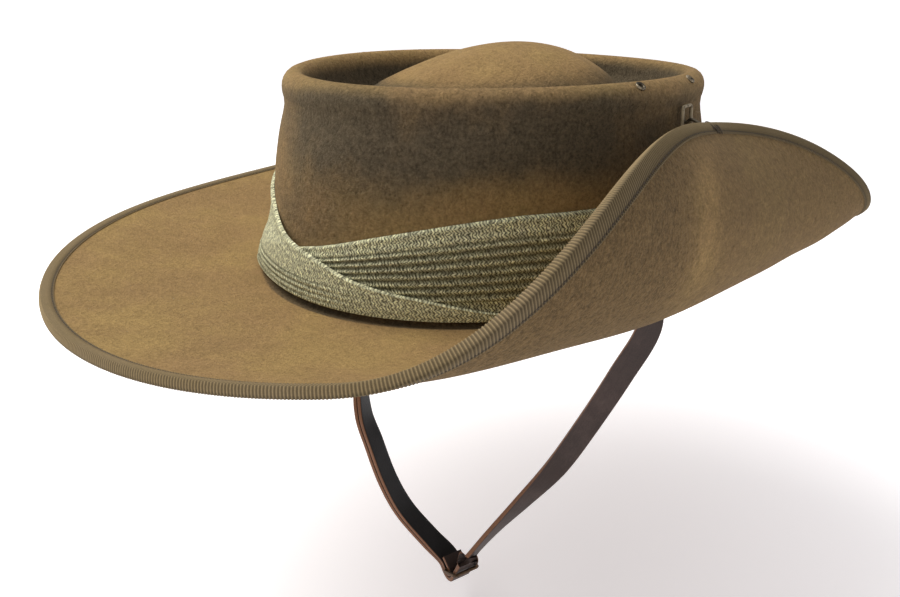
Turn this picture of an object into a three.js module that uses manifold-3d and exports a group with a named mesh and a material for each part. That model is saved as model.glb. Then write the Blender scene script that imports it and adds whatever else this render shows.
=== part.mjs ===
// A felt slouch hat with its left side turned up and hooked to the crown.
// Millimetres. +Z is up, -Y is the front, +X is the wearer's left.
// The origin is the centre of the head opening, on the middle of the brim's felt.
// Angles go round the hat from the wearer's left (0) by the back (90) to the right (180).

import * as THREE from 'three';
import { mergeVertices } from 'three/addons/utils/BufferGeometryUtils.js';
import Module from 'manifold-3d';

// Driving dimensions: felt. Half sizes are to the middle of the felt.
const feltThickness = 2.2;
const crownHalfWidth = 83.5;
const crownHalfLength = 101.4;
const ridgeHalfWidth = 85.7;
const ridgeHalfLength = 93.1;
const ridgeHeight = 80;
const ridgeRoll = 11;
const trenchDepth = 15.5;
const domeRise = 9.3;
const domeDepth = 20.1;
const domeShiftLeft = 7.6;
const domeShiftBack = 4.9;
const footRadius = 3;
const brimWidth = 82.5;
const brimNarrowing = 2;

// Driving dimensions: the turned-up side.
const foldClearance = 9.2;
const curlLength = 75;
const curlAngle = 168.5;
const curlSkew = -1;
const curlEase = 1.15;

// Driving dimensions: ribbon, cloth band.
const ribbonThickness = 1.0;
const ribbonCover = 4.0;
const clothThickness = 1.3;
const pleatRise = 0.7;
const pleatBulge = 0.25;
const pleatCount = 6;
const hemRise = 0.1;
const bandFlare = 4.6;
const bandSag = 0.1;
const bandHeight = 36.5;
const bandFoot = 3.6;

// Driving dimensions: vents, wire loop and hook.
const ventBore = 1.0;
const ventWall = 0.5;
const ventFlange = 2.3;
const ventFlangeThickness = 0.5;
const ventDrop = 1.2;
const ventSpread = 11.2;
const ventCentre = 3.8;
const loopWire = 0.65;
const loopWidth = 8.6;
const loopLength = 13;
const loopTurn = 8.3;
const loopDrop = 22.5;
const tabWidth = 4.2;
const tabLength = 8;
const tabThickness = 0.8;
const hookWire = 0.55;
const hookTurn = 3.6;
const hookShank = 4;

// Driving dimensions: chin strap and buckle.
const strapWidth = 10.5;
const strapThickness = 2.2;
const strapDrop = 159;
const strapHeight = 9;
const strapBend = 12;
const strapRightExit = 4;
const strapLeftExit = 14;
const foldLength = 6;
const buckleWire = 0.9;
const buckleLength = 9;

// Clearances and mesh fineness.
const gap = 0.3;
const strapSideGap = 0.45;
const strapWallGap = 0.6;
const columnCount = 54;
const columnCrowding = 0.25;
const wireSides = 6;
const ventSides = 10;

const rad = THREE.MathUtils.degToRad;
const vec = (x, y, z) => new THREE.Vector3(x, y, z);
const along = (point, direction, length) => point.clone().addScaledVector(direction, length);

// The columns stand closer together on the turned-up side.
const columns = Array.from({ length: columnCount }, (_, i) => {
  const even = (2 * Math.PI * i) / columnCount;
  return even - columnCrowding * Math.sin(even);
});

// Meshing: rings of points are joined one to the next.

// Joins rings into one closed body. A ring of one point is a pole.
// Without poles the ends are capped, or the last ring meets the first when closed is true.
function loft(rings, closed = false) {
  const positions = [];
  const index = [];
  const starts = rings.map((ring) => {
    const start = positions.length / 3;
    for (const point of ring) positions.push(point.x, point.y, point.z);
    return start;
  });
  const links = closed ? rings.length : rings.length - 1;
  for (let i = 0; i < links; i += 1) {
    const next = (i + 1) % rings.length;
    const count = Math.max(rings[i].length, rings[next].length);
    for (let j = 0; j < count; j += 1) {
      const k = (j + 1) % count;
      const a = starts[i] + (rings[i].length === 1 ? 0 : j);
      const b = starts[i] + (rings[i].length === 1 ? 0 : k);
      const c = starts[next] + (rings[next].length === 1 ? 0 : k);
      const d = starts[next] + (rings[next].length === 1 ? 0 : j);
      if (a !== b) index.push(a, b, c);
      if (c !== d) index.push(a, c, d);
    }
  }
  if (!closed) {
    capRing(rings[0], starts[0], index, true);
    capRing(rings[rings.length - 1], starts[rings.length - 1], index, false);
  }
  return facingOut(positions, index);
}

// The direction square to the plane that a bent line lies in.
function planeNormal(points) {
  const normal = vec(0, 0, 0);
  for (let j = 1; j + 1 < points.length; j += 1) {
    const a = points[j].clone().sub(points[0]);
    const b = points[j + 1].clone().sub(points[0]);
    normal.add(a.cross(b));
  }
  return normal.normalize();
}

// Closes a ring of more than two points with triangles in its own plane.
function capRing(ring, start, index, reversed) {
  if (ring.length < 3) return;
  const origin = ring[0];
  const normal = planeNormal(ring);
  const across = ring[1].clone().sub(origin).normalize();
  const up = normal.clone().cross(across);
  const flat = ring.map((point) => {
    const from = point.clone().sub(origin);
    return new THREE.Vector2(from.dot(across), from.dot(up));
  });
  for (const [a, b, c] of THREE.ShapeUtils.triangulateShape(flat, [])) {
    if (reversed) index.push(start + a, start + c, start + b);
    else index.push(start + a, start + b, start + c);
  }
}

// Turns the triangles round if the body they enclose comes out negative.
function facingOut(positions, index) {
  let volume = 0;
  const corner = (i) => vec(positions[3 * i], positions[3 * i + 1], positions[3 * i + 2]);
  for (let i = 0; i < index.length; i += 3) {
    volume += corner(index[i]).dot(corner(index[i + 1]).cross(corner(index[i + 2])));
  }
  if (volume < 0) {
    for (let i = 0; i < index.length; i += 3) {
      const kept = index[i + 1];
      index[i + 1] = index[i + 2];
      index[i + 2] = kept;
    }
  }
  const geometry = new THREE.BufferGeometry();
  geometry.setAttribute('position', new THREE.Float32BufferAttribute(positions, 3));
  geometry.setIndex(index);
  return geometry;
}

// A round wire of the given radius along a list of points.
function wire(points, radius, closed = false) {
  const side = planeNormal(points);
  const rings = points.map((point, i) => {
    const before = points[(i - 1 + points.length) % points.length];
    const after = points[(i + 1) % points.length];
    const first = !closed && i === 0;
    const last = !closed && i === points.length - 1;
    const forward = (last ? point : after).clone().sub(first ? point : before).normalize();
    side.addScaledVector(forward, -side.dot(forward)).normalize();
    const other = forward.clone().cross(side);
    return Array.from({ length: wireSides }, (_, j) => {
      const angle = (2 * Math.PI * j) / wireSides;
      return along(along(point, side, radius * Math.cos(angle)), other, radius * Math.sin(angle));
    });
  });
  return loft(rings, closed);
}

// A flat strip along stations, each a place and the direction of the strip's width.
function strip(stations, width, thickness) {
  const rings = stations.map(({ place, across }, i) => {
    const before = stations[Math.max(i - 1, 0)].place;
    const after = stations[Math.min(i + 1, stations.length - 1)].place;
    const forward = after.clone().sub(before).normalize();
    const wide = across.clone().addScaledVector(forward, -across.dot(forward)).normalize();
    const face = forward.clone().cross(wide);
    return [[1, 1], [-1, 1], [-1, -1], [1, -1]].map(([w, f]) => (
      along(along(place, wide, (w * width) / 2), face, (f * thickness) / 2)));
  });
  return loft(rings);
}

// The felt: crown.

// Slow swells of the ridge round the hat, in shares of the ridge's height.
const ridgeSwells = [
  { turns: 1, cosine: -0.019, sine: 0.006 },
  { turns: 2, cosine: 0.009, sine: 0 },
];

const swell = (rows, turn) => rows.reduce((sum, row) => (
  sum + row.cosine * Math.cos(row.turns * turn) + row.sine * Math.sin(row.turns * turn)), 0);

// The middle of the crown's felt: out is beyond the wall's own oval, up is above the brim.
function crownPoint(turn, out, up) {
  const climb = THREE.MathUtils.clamp(up / ridgeHeight, 0, 1.1);
  const halfWidth = THREE.MathUtils.lerp(crownHalfWidth, ridgeHalfWidth, climb) + out;
  const halfLength = THREE.MathUtils.lerp(crownHalfLength, ridgeHalfLength, climb) + out;
  const lift = ridgeHeight * swell(ridgeSwells, turn) * climb * climb;
  return vec(halfWidth * Math.cos(turn), halfLength * Math.sin(turn), up + lift);
}

// The level direction that faces out of the crown's wall at a height.
function crownFacing(turn, up) {
  const climb = THREE.MathUtils.clamp(up / ridgeHeight, 0, 1.1);
  const halfWidth = THREE.MathUtils.lerp(crownHalfWidth, ridgeHalfWidth, climb);
  const halfLength = THREE.MathUtils.lerp(crownHalfLength, ridgeHalfLength, climb);
  return vec(Math.cos(turn) / halfWidth, Math.sin(turn) / halfLength, 0).normalize();
}

// The wall and the rolled ridge, from inside the trench down to the foot.
// in: inside the wall's oval, in shares of ridgeRoll. up: in shares of ridgeHeight.
const wallRows = [
  { in: 1.08, up: 0.912 },
  { in: 0.93, up: 0.971 },
  { in: 0.66, up: 1.0 },
  { in: 0.41, up: 0.985 },
  { in: 0.28, up: 0.94 },
  { in: 0.33, up: 0.887 },
  { in: 0.24, up: 0.79 },
  { in: 0.11, up: 0.69 },
  { in: 0, up: 0.475 },
];

// The dome and the trench round it. reach: in shares of the ridge's half sizes.
const domeReach = 0.62;
const domeRows = [0.13, 0.26, 0.38, 0.49, 0.58];
const trenchRows = [
  { reach: 0.68, down: 0.83 },
  { reach: 0.75, down: 1.0 },
  { reach: 0.82, down: 0.86 },
];

// A point of the dome: it falls as the square of its reach, and its top leans aside.
function domePoint(turn, reach) {
  const share = (reach / domeReach) ** 2;
  const x = reach * ridgeHalfWidth * Math.cos(turn) + domeShiftLeft * (1 - share);
  const y = reach * ridgeHalfLength * Math.sin(turn) + domeShiftBack * (1 - share);
  return vec(x, y, ridgeHeight + domeRise - domeDepth * share);
}

const ringOf = (pointAt) => columns.map(pointAt);

// The felt: brim.

// Lift of the brim's edge round the hat, in shares of brimWidth.
const brimDish = 0.244;
const brimSwells = [
  { turns: 1, cosine: 0.02, sine: 0.051 },
  { turns: 2, cosine: 0.023, sine: -0.096 },
  { turns: 3, cosine: 0.056, sine: -0.023 },
];

// How the curl's length and angle change from the front (-1) to the back (+1).
const curlLengthTaper = { linear: -0.71, square: -0.3, cube: 0.3 };
const curlAngleTaper = { linear: -0.34, square: -0.12 };
const curlSpan = 1.48;
const curlSteps = 24;

// Carries a point of the flat brim along the curl that turns the left side up.
function curled(flat, share, turn) {
  const outward = vec(Math.cos(rad(curlSkew)), Math.sin(rad(curlSkew)), 0);
  const backward = vec(-outward.y, outward.x, 0);
  const back = flat.dot(backward);
  const place = back / (curlSpan * crownHalfLength);
  const length = curlLength * Math.exp(curlLengthTaper.linear * place
    + curlLengthTaper.square * place ** 2 + curlLengthTaper.cube * place ** 3);
  const angle = rad(curlAngle) * Math.exp(curlAngleTaper.linear * place
    + curlAngleTaper.square * place ** 2);
  const start = crownHalfWidth + foldClearance;
  const past = flat.dot(outward) - start;
  let out = Math.min(past, 0);
  let up = 0;
  const bent = THREE.MathUtils.clamp(past / length, 0, 1);
  for (let i = 0; i < curlSteps; i += 1) {
    const at = ((i + 0.5) / curlSteps) * bent;
    const ease = (1 - curlEase) * at + curlEase * at * at * (3 - 2 * at);
    out += (Math.cos(angle * ease) * bent * length) / curlSteps;
    up += (Math.sin(angle * ease) * bent * length) / curlSteps;
  }
  const straight = Math.max(past - length, 0);
  out += Math.cos(angle) * straight;
  up += Math.sin(angle) * straight;
  up += brimWidth * (brimDish + swell(brimSwells, turn)) * share ** 1.5;
  return vec(0, 0, up).addScaledVector(outward, start + out).addScaledVector(backward, back);
}

const brimWidthAt = (turn) => brimWidth - brimNarrowing * Math.cos(2 * turn);

// The middle of the brim's felt, from the crown's foot (share 0) to its edge (share 1).
function brimPoint(turn, share) {
  const flat = crownPoint(turn, 0, 0);
  flat.z = 0;
  flat.addScaledVector(crownFacing(turn, 0), share * brimWidthAt(turn));
  return curled(flat, share, turn);
}

// The direction that faces up out of the brim, and the one that leads out along it.
function brimFrame(turn, share) {
  const step = 0.01;
  const place = brimPoint(turn, share);
  const outward = place.clone().sub(brimPoint(turn, share - step)).normalize();
  const round = brimPoint(turn + step, share).sub(brimPoint(turn - step, share)).normalize();
  const facing = outward.clone().cross(round).normalize();
  return { place, outward, facing };
}

// Rows of the felt's middle, from the dome's top over the ridge and out to the brim's edge.
const coverShare = 1 - ribbonCover / brimWidth;
const brimRows = [0.13, 0.24, 0.35, 0.46, 0.57, 0.68, 0.78, 0.87, coverShare, 1];
const footAngles = [60, 30, 0];

function feltMiddle() {
  const rings = [];
  for (const reach of domeRows) rings.push(ringOf((turn) => domePoint(turn, reach)));
  for (const { reach, down } of trenchRows) {
    rings.push(ringOf((turn) => {
      const level = ridgeHeight - trenchDepth * down;
      return vec(reach * ridgeHalfWidth * Math.cos(turn), reach * ridgeHalfLength * Math.sin(turn), level);
    }));
  }
  for (const row of wallRows) {
    rings.push(ringOf((turn) => crownPoint(turn, -row.in * ridgeRoll, row.up * ridgeHeight)));
  }
  rings.push(ringOf((turn) => crownPoint(turn, 0, bandFoot + bandHeight / 2)));
  for (const angle of [90, ...footAngles]) {
    const out = footRadius * (1 - Math.sin(rad(angle)));
    const up = footRadius * (1 - Math.cos(rad(angle)));
    rings.push(ringOf((turn) => along(crownPoint(turn, 0, up), crownFacing(turn, 0), out)));
  }
  for (const share of brimRows) rings.push(ringOf((turn) => brimPoint(turn, share)));
  return rings;
}

// Directions out of the felt's outer side at each point of its rings.
function ringFacings(rings) {
  const firstBrimRing = rings.length - brimRows.length;
  return rings.map((ring, i) => ring.map((point, j) => {
    if (i >= firstBrimRing) return brimFrame(columns[j], brimRows[i - firstBrimRing]).facing;
    const above = i > 0 ? rings[i - 1][j] : point;
    const below = rings[i + 1][j];
    const left = ring[(j - 1 + ring.length) % ring.length];
    const right = ring[(j + 1) % ring.length];
    return below.clone().sub(above).cross(right.clone().sub(left)).normalize();
  }));
}

function feltBody() {
  const middle = feltMiddle();
  const facings = ringFacings(middle);
  const shifted = (amount) => middle.map((ring, i) => ring.map((point, j) => (
    along(point, facings[i][j], amount))));
  const outer = shifted(feltThickness / 2);
  const inner = shifted(-feltThickness / 2).reverse();
  const top = domePoint(0, 0);
  const poleUp = [along(top, vec(0, 0, 1), feltThickness / 2)];
  const poleDown = [along(top, vec(0, 0, -1), feltThickness / 2)];
  return loft([poleUp, ...outer, ...inner, poleDown]);
}

// The ribbon folded over the brim's edge.
function brimBinding() {
  const inside = feltThickness / 2 + gap;
  const outside = inside + ribbonThickness;
  const rings = columns.map((turn) => {
    const [foot, edge] = [coverShare, 1].map((share) => brimFrame(turn, share));
    const at = (frame, height, beyond = 0) => (
      along(along(frame.place, frame.facing, height), frame.outward, beyond));
    const nose = gap + ribbonThickness;
    return [
      at(foot, outside), at(edge, outside),
      at(edge, outside / 2, nose), at(edge, -outside / 2, nose),
      at(edge, -outside), at(foot, -outside),
      at(foot, -inside), at(edge, -inside, gap),
      at(edge, inside, gap), at(foot, inside),
    ].reverse();
  });
  return loft(rings, true);
}

// The cloth band. Its two layers cross at the front.

// Heights of the layers' upper edges, in shares of bandHeight above bandFoot.
const underTop = [
  { turn: -116, up: 0.2 },
  { turn: -100, up: 0.37 },
  { turn: -89, up: 0.5 },
  { turn: -81, up: 0.575 },
  { turn: -74, up: 0.66 },
  { turn: -67, up: 0.745 },
  { turn: -60, up: 0.82 },
  { turn: -52, up: 0.895 },
  { turn: -44, up: 0.955 },
  { turn: -35, up: 1.0 },
  { turn: 90, up: 1.0 },
];
const overTop = [
  { turn: -270, up: 1.0 },
  { turn: -130, up: 1.0 },
  { turn: -116, up: 0.9 },
  { turn: -108, up: 0.75 },
  { turn: -101, up: 0.665 },
  { turn: -95, up: 0.59 },
  { turn: -88, up: 0.525 },
  { turn: -82, up: 0.47 },
  { turn: -78, up: 0.42 },
  { turn: -73, up: 0.35 },
  { turn: -68, up: 0.3 },
  { turn: -62, up: 0.255 },
  { turn: -54, up: 0.21 },
  { turn: -46, up: 0.135 },
  { turn: -38, up: 0.06 },
];
const overClimbStart = -134;
const overClimbEnd = -120;

// Where the upper wrap leans back and how its foot flares. Turns in degrees, the rest are shares.
const bendClear = 0.05;
const leanFrom = 0.02;
const leanFull = 0.5;
const leanReach = 0.7;
const flareTurn = -125;
const flareSpread = 16;
const flareReach = 0.45;

// Reads a height table between its rows.
function heightAt(table, turn) {
  const last = table.findIndex((row) => row.turn >= turn);
  if (last <= 0) return table[last === 0 ? 0 : table.length - 1].up;
  const [a, b] = [table[last - 1], table[last]];
  return THREE.MathUtils.lerp(a.up, b.up, (turn - a.turn) / (b.turn - a.turn));
}

// The hat's own columns inside a span of degrees, with a column at each end of the span.
function bandTurns(from, to) {
  const clear = rad(1);
  const laps = [-1, 0].flatMap((lap) => columns.map((turn) => turn + 2 * Math.PI * lap));
  const inside = laps.filter((turn) => turn > rad(from) + clear && turn < rad(to) - clear);
  return [rad(from), ...inside, rad(to)];
}

// Where a pleat is lowest and highest, in shares of its own height from its top.
const pleatHollow = 0.25;
const pleatCrest = 0.88;

// One layer: at each column a closed outline of its inner face and its stepped outer face.
// innerAt gives the inner face's distance from the wall's oval at a turn and a share of the height.
function bandLayer(turns, table, innerAt, innerShares, rise, steps) {
  const rings = turns.map((turn) => {
    const top = bandHeight * heightAt(table, THREE.MathUtils.radToDeg(turn));
    const at = (share, out) => {
      const up = bandFoot + top * share;
      return along(crownPoint(turn, 0, up), crownFacing(turn, up), innerAt(turn, share) + out);
    };
    const outerAt = (share, extra) => (
      at(share, clothThickness + 4 * pleatBulge * share * (1 - share) + extra));
    const outline = innerShares(turn).map((share) => at(share, 0));
    for (let i = 0; i < steps; i += 1) {
      outline.push(outerAt(1 - (i + pleatHollow) / steps, 0));
      outline.push(outerAt(1 - (i + pleatCrest) / steps, rise));
    }
    return outline;
  });
  return loft(rings);
}

const bandInside = feltThickness / 2 + gap;
const overInside = bandInside + clothThickness + pleatBulge + pleatRise + gap;

// Both layers end side by side at a seam at the back.
const seamTurn = 90;
const seamHalf = THREE.MathUtils.radToDeg(gap / 2 / crownHalfWidth);
const underStart = -116;
const overEnd = -38;

function bandUnderWrap() {
  const turns = bandTurns(underStart, seamTurn - seamHalf);
  return bandLayer(turns, underTop, () => bandInside, () => [0, 1], pleatRise, pleatCount);
}

// The upper wrap's own height and the height of the pleated wrap under it, in shares of bandHeight.
function overlapAt(turn) {
  const degrees = THREE.MathUtils.radToDeg(turn);
  return { own: heightAt(overTop, degrees), covered: heightAt(underTop, degrees) };
}

// The inner face bends at the top of what it covers.
function overBend(turn) {
  const { own, covered } = overlapAt(turn);
  return THREE.MathUtils.clamp((covered + bendClear) / own, 0.25, 0.75);
}

// The upper wrap climbs over the pleated one, leans back to the felt above it and flares at its foot.
function overInnerAt(turn, share) {
  const { own, covered } = overlapAt(turn);
  const climb = THREE.MathUtils.smoothstep(turn, rad(overClimbStart), rad(overClimbEnd));
  const bend = overBend(turn);
  const free = THREE.MathUtils.smoothstep(own - covered, leanFrom, leanFull);
  const lean = THREE.MathUtils.clamp((share - bend) / (1 - bend) / leanReach, 0, 1) * free;
  const foot = Math.max(1 - share * own / flareReach, 0);
  const place = (turn - rad(flareTurn)) / rad(flareSpread);
  const flare = bandFlare * foot * Math.exp(-(place ** 2));
  const sag = 4 * bandSag * share * (1 - share);
  return THREE.MathUtils.lerp(bandInside, overInside, climb * (1 - lean)) + flare + sag;
}

function bandOverWrap() {
  const turns = bandTurns(seamTurn - 360 + seamHalf, overEnd);
  return bandLayer(turns, overTop, overInnerAt, (turn) => [0, overBend(turn), 1], hemRise, 2);
}

// Vents: eyelets through the ridge's outer shoulder.

// The felt's middle and its facing at a place on the crown.
function crownFrame(turn, up) {
  const step = 0.7;
  const at = (height) => crownPoint(turn, shoulderOut(height), height);
  const place = at(up);
  const rise = at(up + step).sub(at(up - step));
  const round = crownPoint(turn + 0.01, shoulderOut(up), up).sub(place);
  return { place, facing: round.cross(rise).normalize(), rise: rise.normalize() };
}

// How far the wall stands from its oval at a height below the ridge's top.
function shoulderOut(up) {
  const rows = wallRows.filter((row) => row.in <= wallRows[2].in).reverse();
  const share = up / ridgeHeight;
  const next = rows.findIndex((row, i) => i > 0 && row.up >= share);
  if (next < 1) return -rows[rows.length - 1].in * ridgeRoll;
  const [a, b] = [rows[next - 1], rows[next]];
  return -ridgeRoll * THREE.MathUtils.lerp(a.in, b.in, (share - a.up) / (b.up - a.up));
}

const ventTurns = [
  { name: 'vent_left_front', turn: ventCentre - ventSpread },
  { name: 'vent_left_back', turn: ventCentre + ventSpread },
  { name: 'vent_right_back', turn: 180 - ventCentre - ventSpread },
  { name: 'vent_right_front', turn: 180 - ventCentre + ventSpread },
];

// Places a lathed shape whose axis is +Y at a frame, with its axis along the facing.
function placeOnFelt(geometry, frame) {
  const turned = new THREE.Quaternion().setFromUnitVectors(vec(0, 1, 0), frame.facing);
  geometry.applyQuaternion(turned);
  geometry.translate(frame.place.x, frame.place.y, frame.place.z);
  return geometry;
}

function ventEyelet(frame) {
  const half = feltThickness / 2 + gap;
  const barrel = ventBore + ventWall;
  const profile = [
    [ventBore, -half], [barrel, -half], [barrel, half], [ventFlange, half],
    [ventFlange, half + ventFlangeThickness], [ventBore, half + ventFlangeThickness],
    [ventBore, -half],
  ].map(([radius, height]) => new THREE.Vector2(radius, height));
  return placeOnFelt(new THREE.LatheGeometry(profile, ventSides), frame);
}

function ventCutter(frame) {
  const radius = ventBore + ventWall + gap;
  return placeOnFelt(new THREE.CylinderGeometry(radius, radius, 4 * feltThickness, ventSides), frame);
}

// Wire loop on the crown, its cloth tab and the hook on the brim's edge.

// A frame on the outer side of the crown where the loop is sewn.
function loopFrame() {
  const frame = crownFrame(rad(loopTurn), ridgeHeight - loopDrop);
  const side = frame.facing.clone().cross(frame.rise).normalize();
  const place = along(frame.place, frame.facing, feltThickness / 2);
  return (out, across, up) => (
    along(along(along(place, frame.facing, out), side, across), frame.rise, up));
}

const tabBack = gap + tabThickness / 2;
const loopStand = tabBack + tabThickness / 2 + gap + loopWire;
const loopTopStand = loopStand + hookWire + 2 * gap;

function crownLoop() {
  const at = loopFrame();
  const half = loopWidth / 2 - loopWire;
  const corner = half - tabWidth / 2 - gap;
  const outline = [
    [-half + corner, 0], [half - corner, 0], [half, corner], [half, loopLength - corner],
    [half - corner, loopLength], [-half + corner, loopLength], [-half, loopLength - corner],
    [-half, corner],
  ];
  const points = outline.map(([across, up]) => (
    at(THREE.MathUtils.lerp(loopStand, loopTopStand, up / loopLength), across, up)));
  return wire(points, loopWire, true);
}

// The tab is a strip folded round the loop's lower bar, with both ends pointing down.
function crownLoopTab() {
  const at = loopFrame();
  const across = at(0, 1, 0).sub(at(0, 0, 0));
  const bend = loopWire + gap + tabThickness / 2;
  const stations = [{ place: at(loopStand - bend, 0, -tabLength), across }];
  for (const angle of [180, 150, 120, 90, 60, 30, 0]) {
    const out = loopStand + bend * Math.cos(rad(angle));
    stations.push({ place: at(out, 0, bend * Math.sin(rad(angle))), across });
  }
  stations.push({ place: at(loopStand + bend, 0, -tabLength), across });
  return strip(stations, tabWidth, tabThickness);
}

// The hook's end at the crown. stand: in shares of loopTopStand. up: in shares of loopLength.
const hookBend = [
  { stand: 1.35, up: 0.62 },
  { stand: 0.82, up: 0.55 },
  { stand: 0.41, up: 0.66 },
  { stand: 0.41, up: 1 },
];

// The hook lies on the ribbon, crosses to the crown and turns up behind the loop's top bar.
function brimHook() {
  const at = loopFrame();
  const stand = feltThickness / 2 + gap + ribbonThickness + gap + hookWire;
  const onBrim = (fromEdge) => {
    const frame = brimFrame(rad(hookTurn), 1 - fromEdge / brimWidth);
    return along(frame.place, frame.facing, stand);
  };
  const onCrown = hookBend.map(({ stand: out, up }) => at(loopTopStand * out, 0, loopLength * up));
  return wire([onBrim(hookShank), onBrim(hookShank / 2), onBrim(gap), ...onCrown], hookWire);
}

// Chin strap. It hangs from both sides of the head opening and is buckled below the chin.

// Each visible strand, from the buckle up to the opening.
// right, front: in shares of the crown's half sizes. down: in shares of strapDrop.
// edge: the direction of the strap's forward edge, in degrees round the hat.
const rightStrand = [
  { right: 0.0, front: 0.385, down: 0.94, edge: -84 },
  { right: 0.165, front: 0.44, down: 0.855, edge: -78 },
  { right: 0.275, front: 0.468, down: 0.765, edge: -73 },
  { right: 0.41, front: 0.468, down: 0.655, edge: -72 },
  { right: 0.52, front: 0.455, down: 0.58, edge: -60 },
  { right: 0.68, front: 0.37, down: 0.45, edge: -50 },
  { right: 0.83, front: 0.215, down: 0.285, edge: -54 },
  { right: 0.93, front: 0.06, down: 0.13, edge: -64 },
];
const leftStrand = [
  { right: -0.295, front: 0.35, down: 0.935, edge: -86 },
  { right: -0.39, front: 0.275, down: 0.83, edge: -94 },
  { right: -0.515, front: 0.185, down: 0.71, edge: -111 },
  { right: -0.645, front: 0.09, down: 0.58, edge: -131 },
  { right: -0.745, front: -0.003, down: 0.44, edge: -140 },
  { right: -0.88, front: -0.062, down: 0.26, edge: -144 },
  { right: -0.965, front: -0.12, down: 0.12, edge: -132 },
];

const edgeDirection = (degrees) => vec(Math.cos(rad(degrees)), Math.sin(rad(degrees)), 0);

function strandStation({ right, front, down, edge }) {
  const place = vec(-right * crownHalfWidth, -front * crownHalfLength, -down * strapDrop);
  return { place, across: edgeDirection(edge) };
}

// Points between stations on one smooth curve.
function smoothed(stations, perSpan) {
  const places = new THREE.CatmullRomCurve3(stations.map((station) => station.place));
  const edges = new THREE.CatmullRomCurve3(stations.map((station) => station.across));
  const count = (stations.length - 1) * perSpan;
  return Array.from({ length: count + 1 }, (_, i) => (
    { place: places.getPoint(i / count), across: edges.getPoint(i / count).normalize() }));
}

// The buckle's plane stands across the strap: level runs to the wearer's right.
const buckleEdge = -100;
const buckleHeel = strandStation({ right: -0.192, front: 0.36, down: 1, edge: buckleEdge }).place;
const rightLeave = 34;
const leftLeave = 116;
const buckleAcross = edgeDirection(buckleEdge);
const buckleLevel = edgeDirection(buckleEdge - 90);

// A point at a distance from the heel bar in one direction, and then along another.
function fromHeel(angle, distance, leave = 0, length = 0) {
  const level = distance * Math.cos(rad(angle)) + length * Math.cos(rad(leave));
  const up = distance * Math.sin(rad(angle)) + length * Math.sin(rad(leave));
  return { place: along(along(buckleHeel, buckleLevel, level), vec(0, 0, 1), up), across: buckleAcross };
}

const foldRadius = buckleWire + gap + strapThickness / 2;
const tailRadius = foldRadius + strapThickness + gap;

function arcStations(radius, from, to, steps) {
  return Array.from({ length: steps + 1 }, (_, i) => (
    fromHeel(from + ((to - from) * i) / steps, radius)));
}

// A place inside the crown's wall, with the wall's own directions up and towards the front.
function insideWall(turn, up) {
  const inset = feltThickness / 2 + strapWallGap + strapThickness / 2;
  const foot = crownPoint(turn, 0, 0);
  const rise = crownPoint(turn, 0, ridgeHeight / 2).sub(foot).divideScalar(ridgeHeight / 2);
  const facing = crownFacing(turn, 0);
  const forward = vec(facing.y, -facing.x, 0).multiplyScalar(Math.sign(Math.cos(turn)));
  return { place: along(along(foot, rise, up), facing, -inset), rise, forward };
}

// The strap's bend inside the crown, from hanging straight down to lying round the back.
function insideBend(exit, side) {
  const offside = Math.asin(exit / crownHalfLength);
  const start = side > 0 ? offside : Math.PI - offside;
  return [0, 22.5, 45, 67.5, 90].map((angle) => {
    const backward = strapBend * (1 - Math.cos(rad(angle)));
    const up = strapHeight - strapBend * (1 - Math.sin(rad(angle)));
    const wall = insideWall(start + (side * backward) / crownHalfLength, up);
    const across = wall.forward.multiplyScalar(Math.cos(rad(angle)));
    return { place: wall.place, across: across.addScaledVector(wall.rise, Math.sin(rad(angle))) };
  });
}

function strapStations() {
  const fold = arcStations(foldRadius, rightLeave + 90, rightLeave + 270, 8);
  fold.unshift(fromHeel(rightLeave + 90, foldRadius, rightLeave, foldLength));
  const leaveRight = fromHeel(rightLeave - 90, foldRadius, rightLeave, foldLength);
  const up = rightStrand.map(strandStation);
  const rightBend = insideBend(strapRightExit, -1);
  const leftBend = insideBend(strapLeftExit, 1).reverse();
  const backStart = Math.asin((strapLeftExit + strapBend) / crownHalfLength);
  const backEnd = Math.PI - Math.asin((strapRightExit + strapBend) / crownHalfLength);
  const clear = rad(2);
  const round = columns.filter((turn) => turn > backStart + clear && turn < backEnd - clear).reverse();
  const back = round.map((turn) => {
    const wall = insideWall(turn, strapHeight);
    return { place: wall.place, across: wall.rise };
  });
  const wrap = arcStations(tailRadius, leftLeave + 90, rightLeave + 270, 5);
  const arrive = fromHeel(leftLeave + 90, tailRadius, leftLeave, buckleLength + foldLength);
  const down = leftStrand.map(strandStation).reverse();
  const rightSide = smoothed([fold[fold.length - 1], leaveRight, ...up, rightBend[0]], 3);
  const leftSide = smoothed([leftBend[leftBend.length - 1], ...down, arrive], 3);
  const tail = tailStations([fold[fold.length - 1], leaveRight, ...up]);
  return [
    ...fold.slice(0, -1), ...rightSide, ...rightBend.slice(1), ...back,
    ...leftBend.slice(0, -1), ...leftSide, ...wrap.slice(0, -1), ...tail,
  ];
}

// The free end lies on the outer side of the right strand, one thickness and a gap away.
const tailRows = 8;
function tailStations(strand) {
  const base = smoothed(strand.slice(0, tailRows), 3);
  return base.map(({ place, across }, i) => {
    const before = base[Math.max(i - 1, 0)].place;
    const after = base[Math.min(i + 1, base.length - 1)].place;
    const forward = after.clone().sub(before).normalize();
    const wide = across.clone().addScaledVector(forward, -across.dot(forward)).normalize();
    const outward = wide.clone().cross(forward);
    return { place: along(place, outward, tailRadius - foldRadius), across };
  });
}

function chinStrap() {
  return strip(strapStations(), strapWidth, strapThickness);
}

// Corner radius of the buckle, in shares of buckleWire.
const buckleCorner = 1.2;

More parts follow.
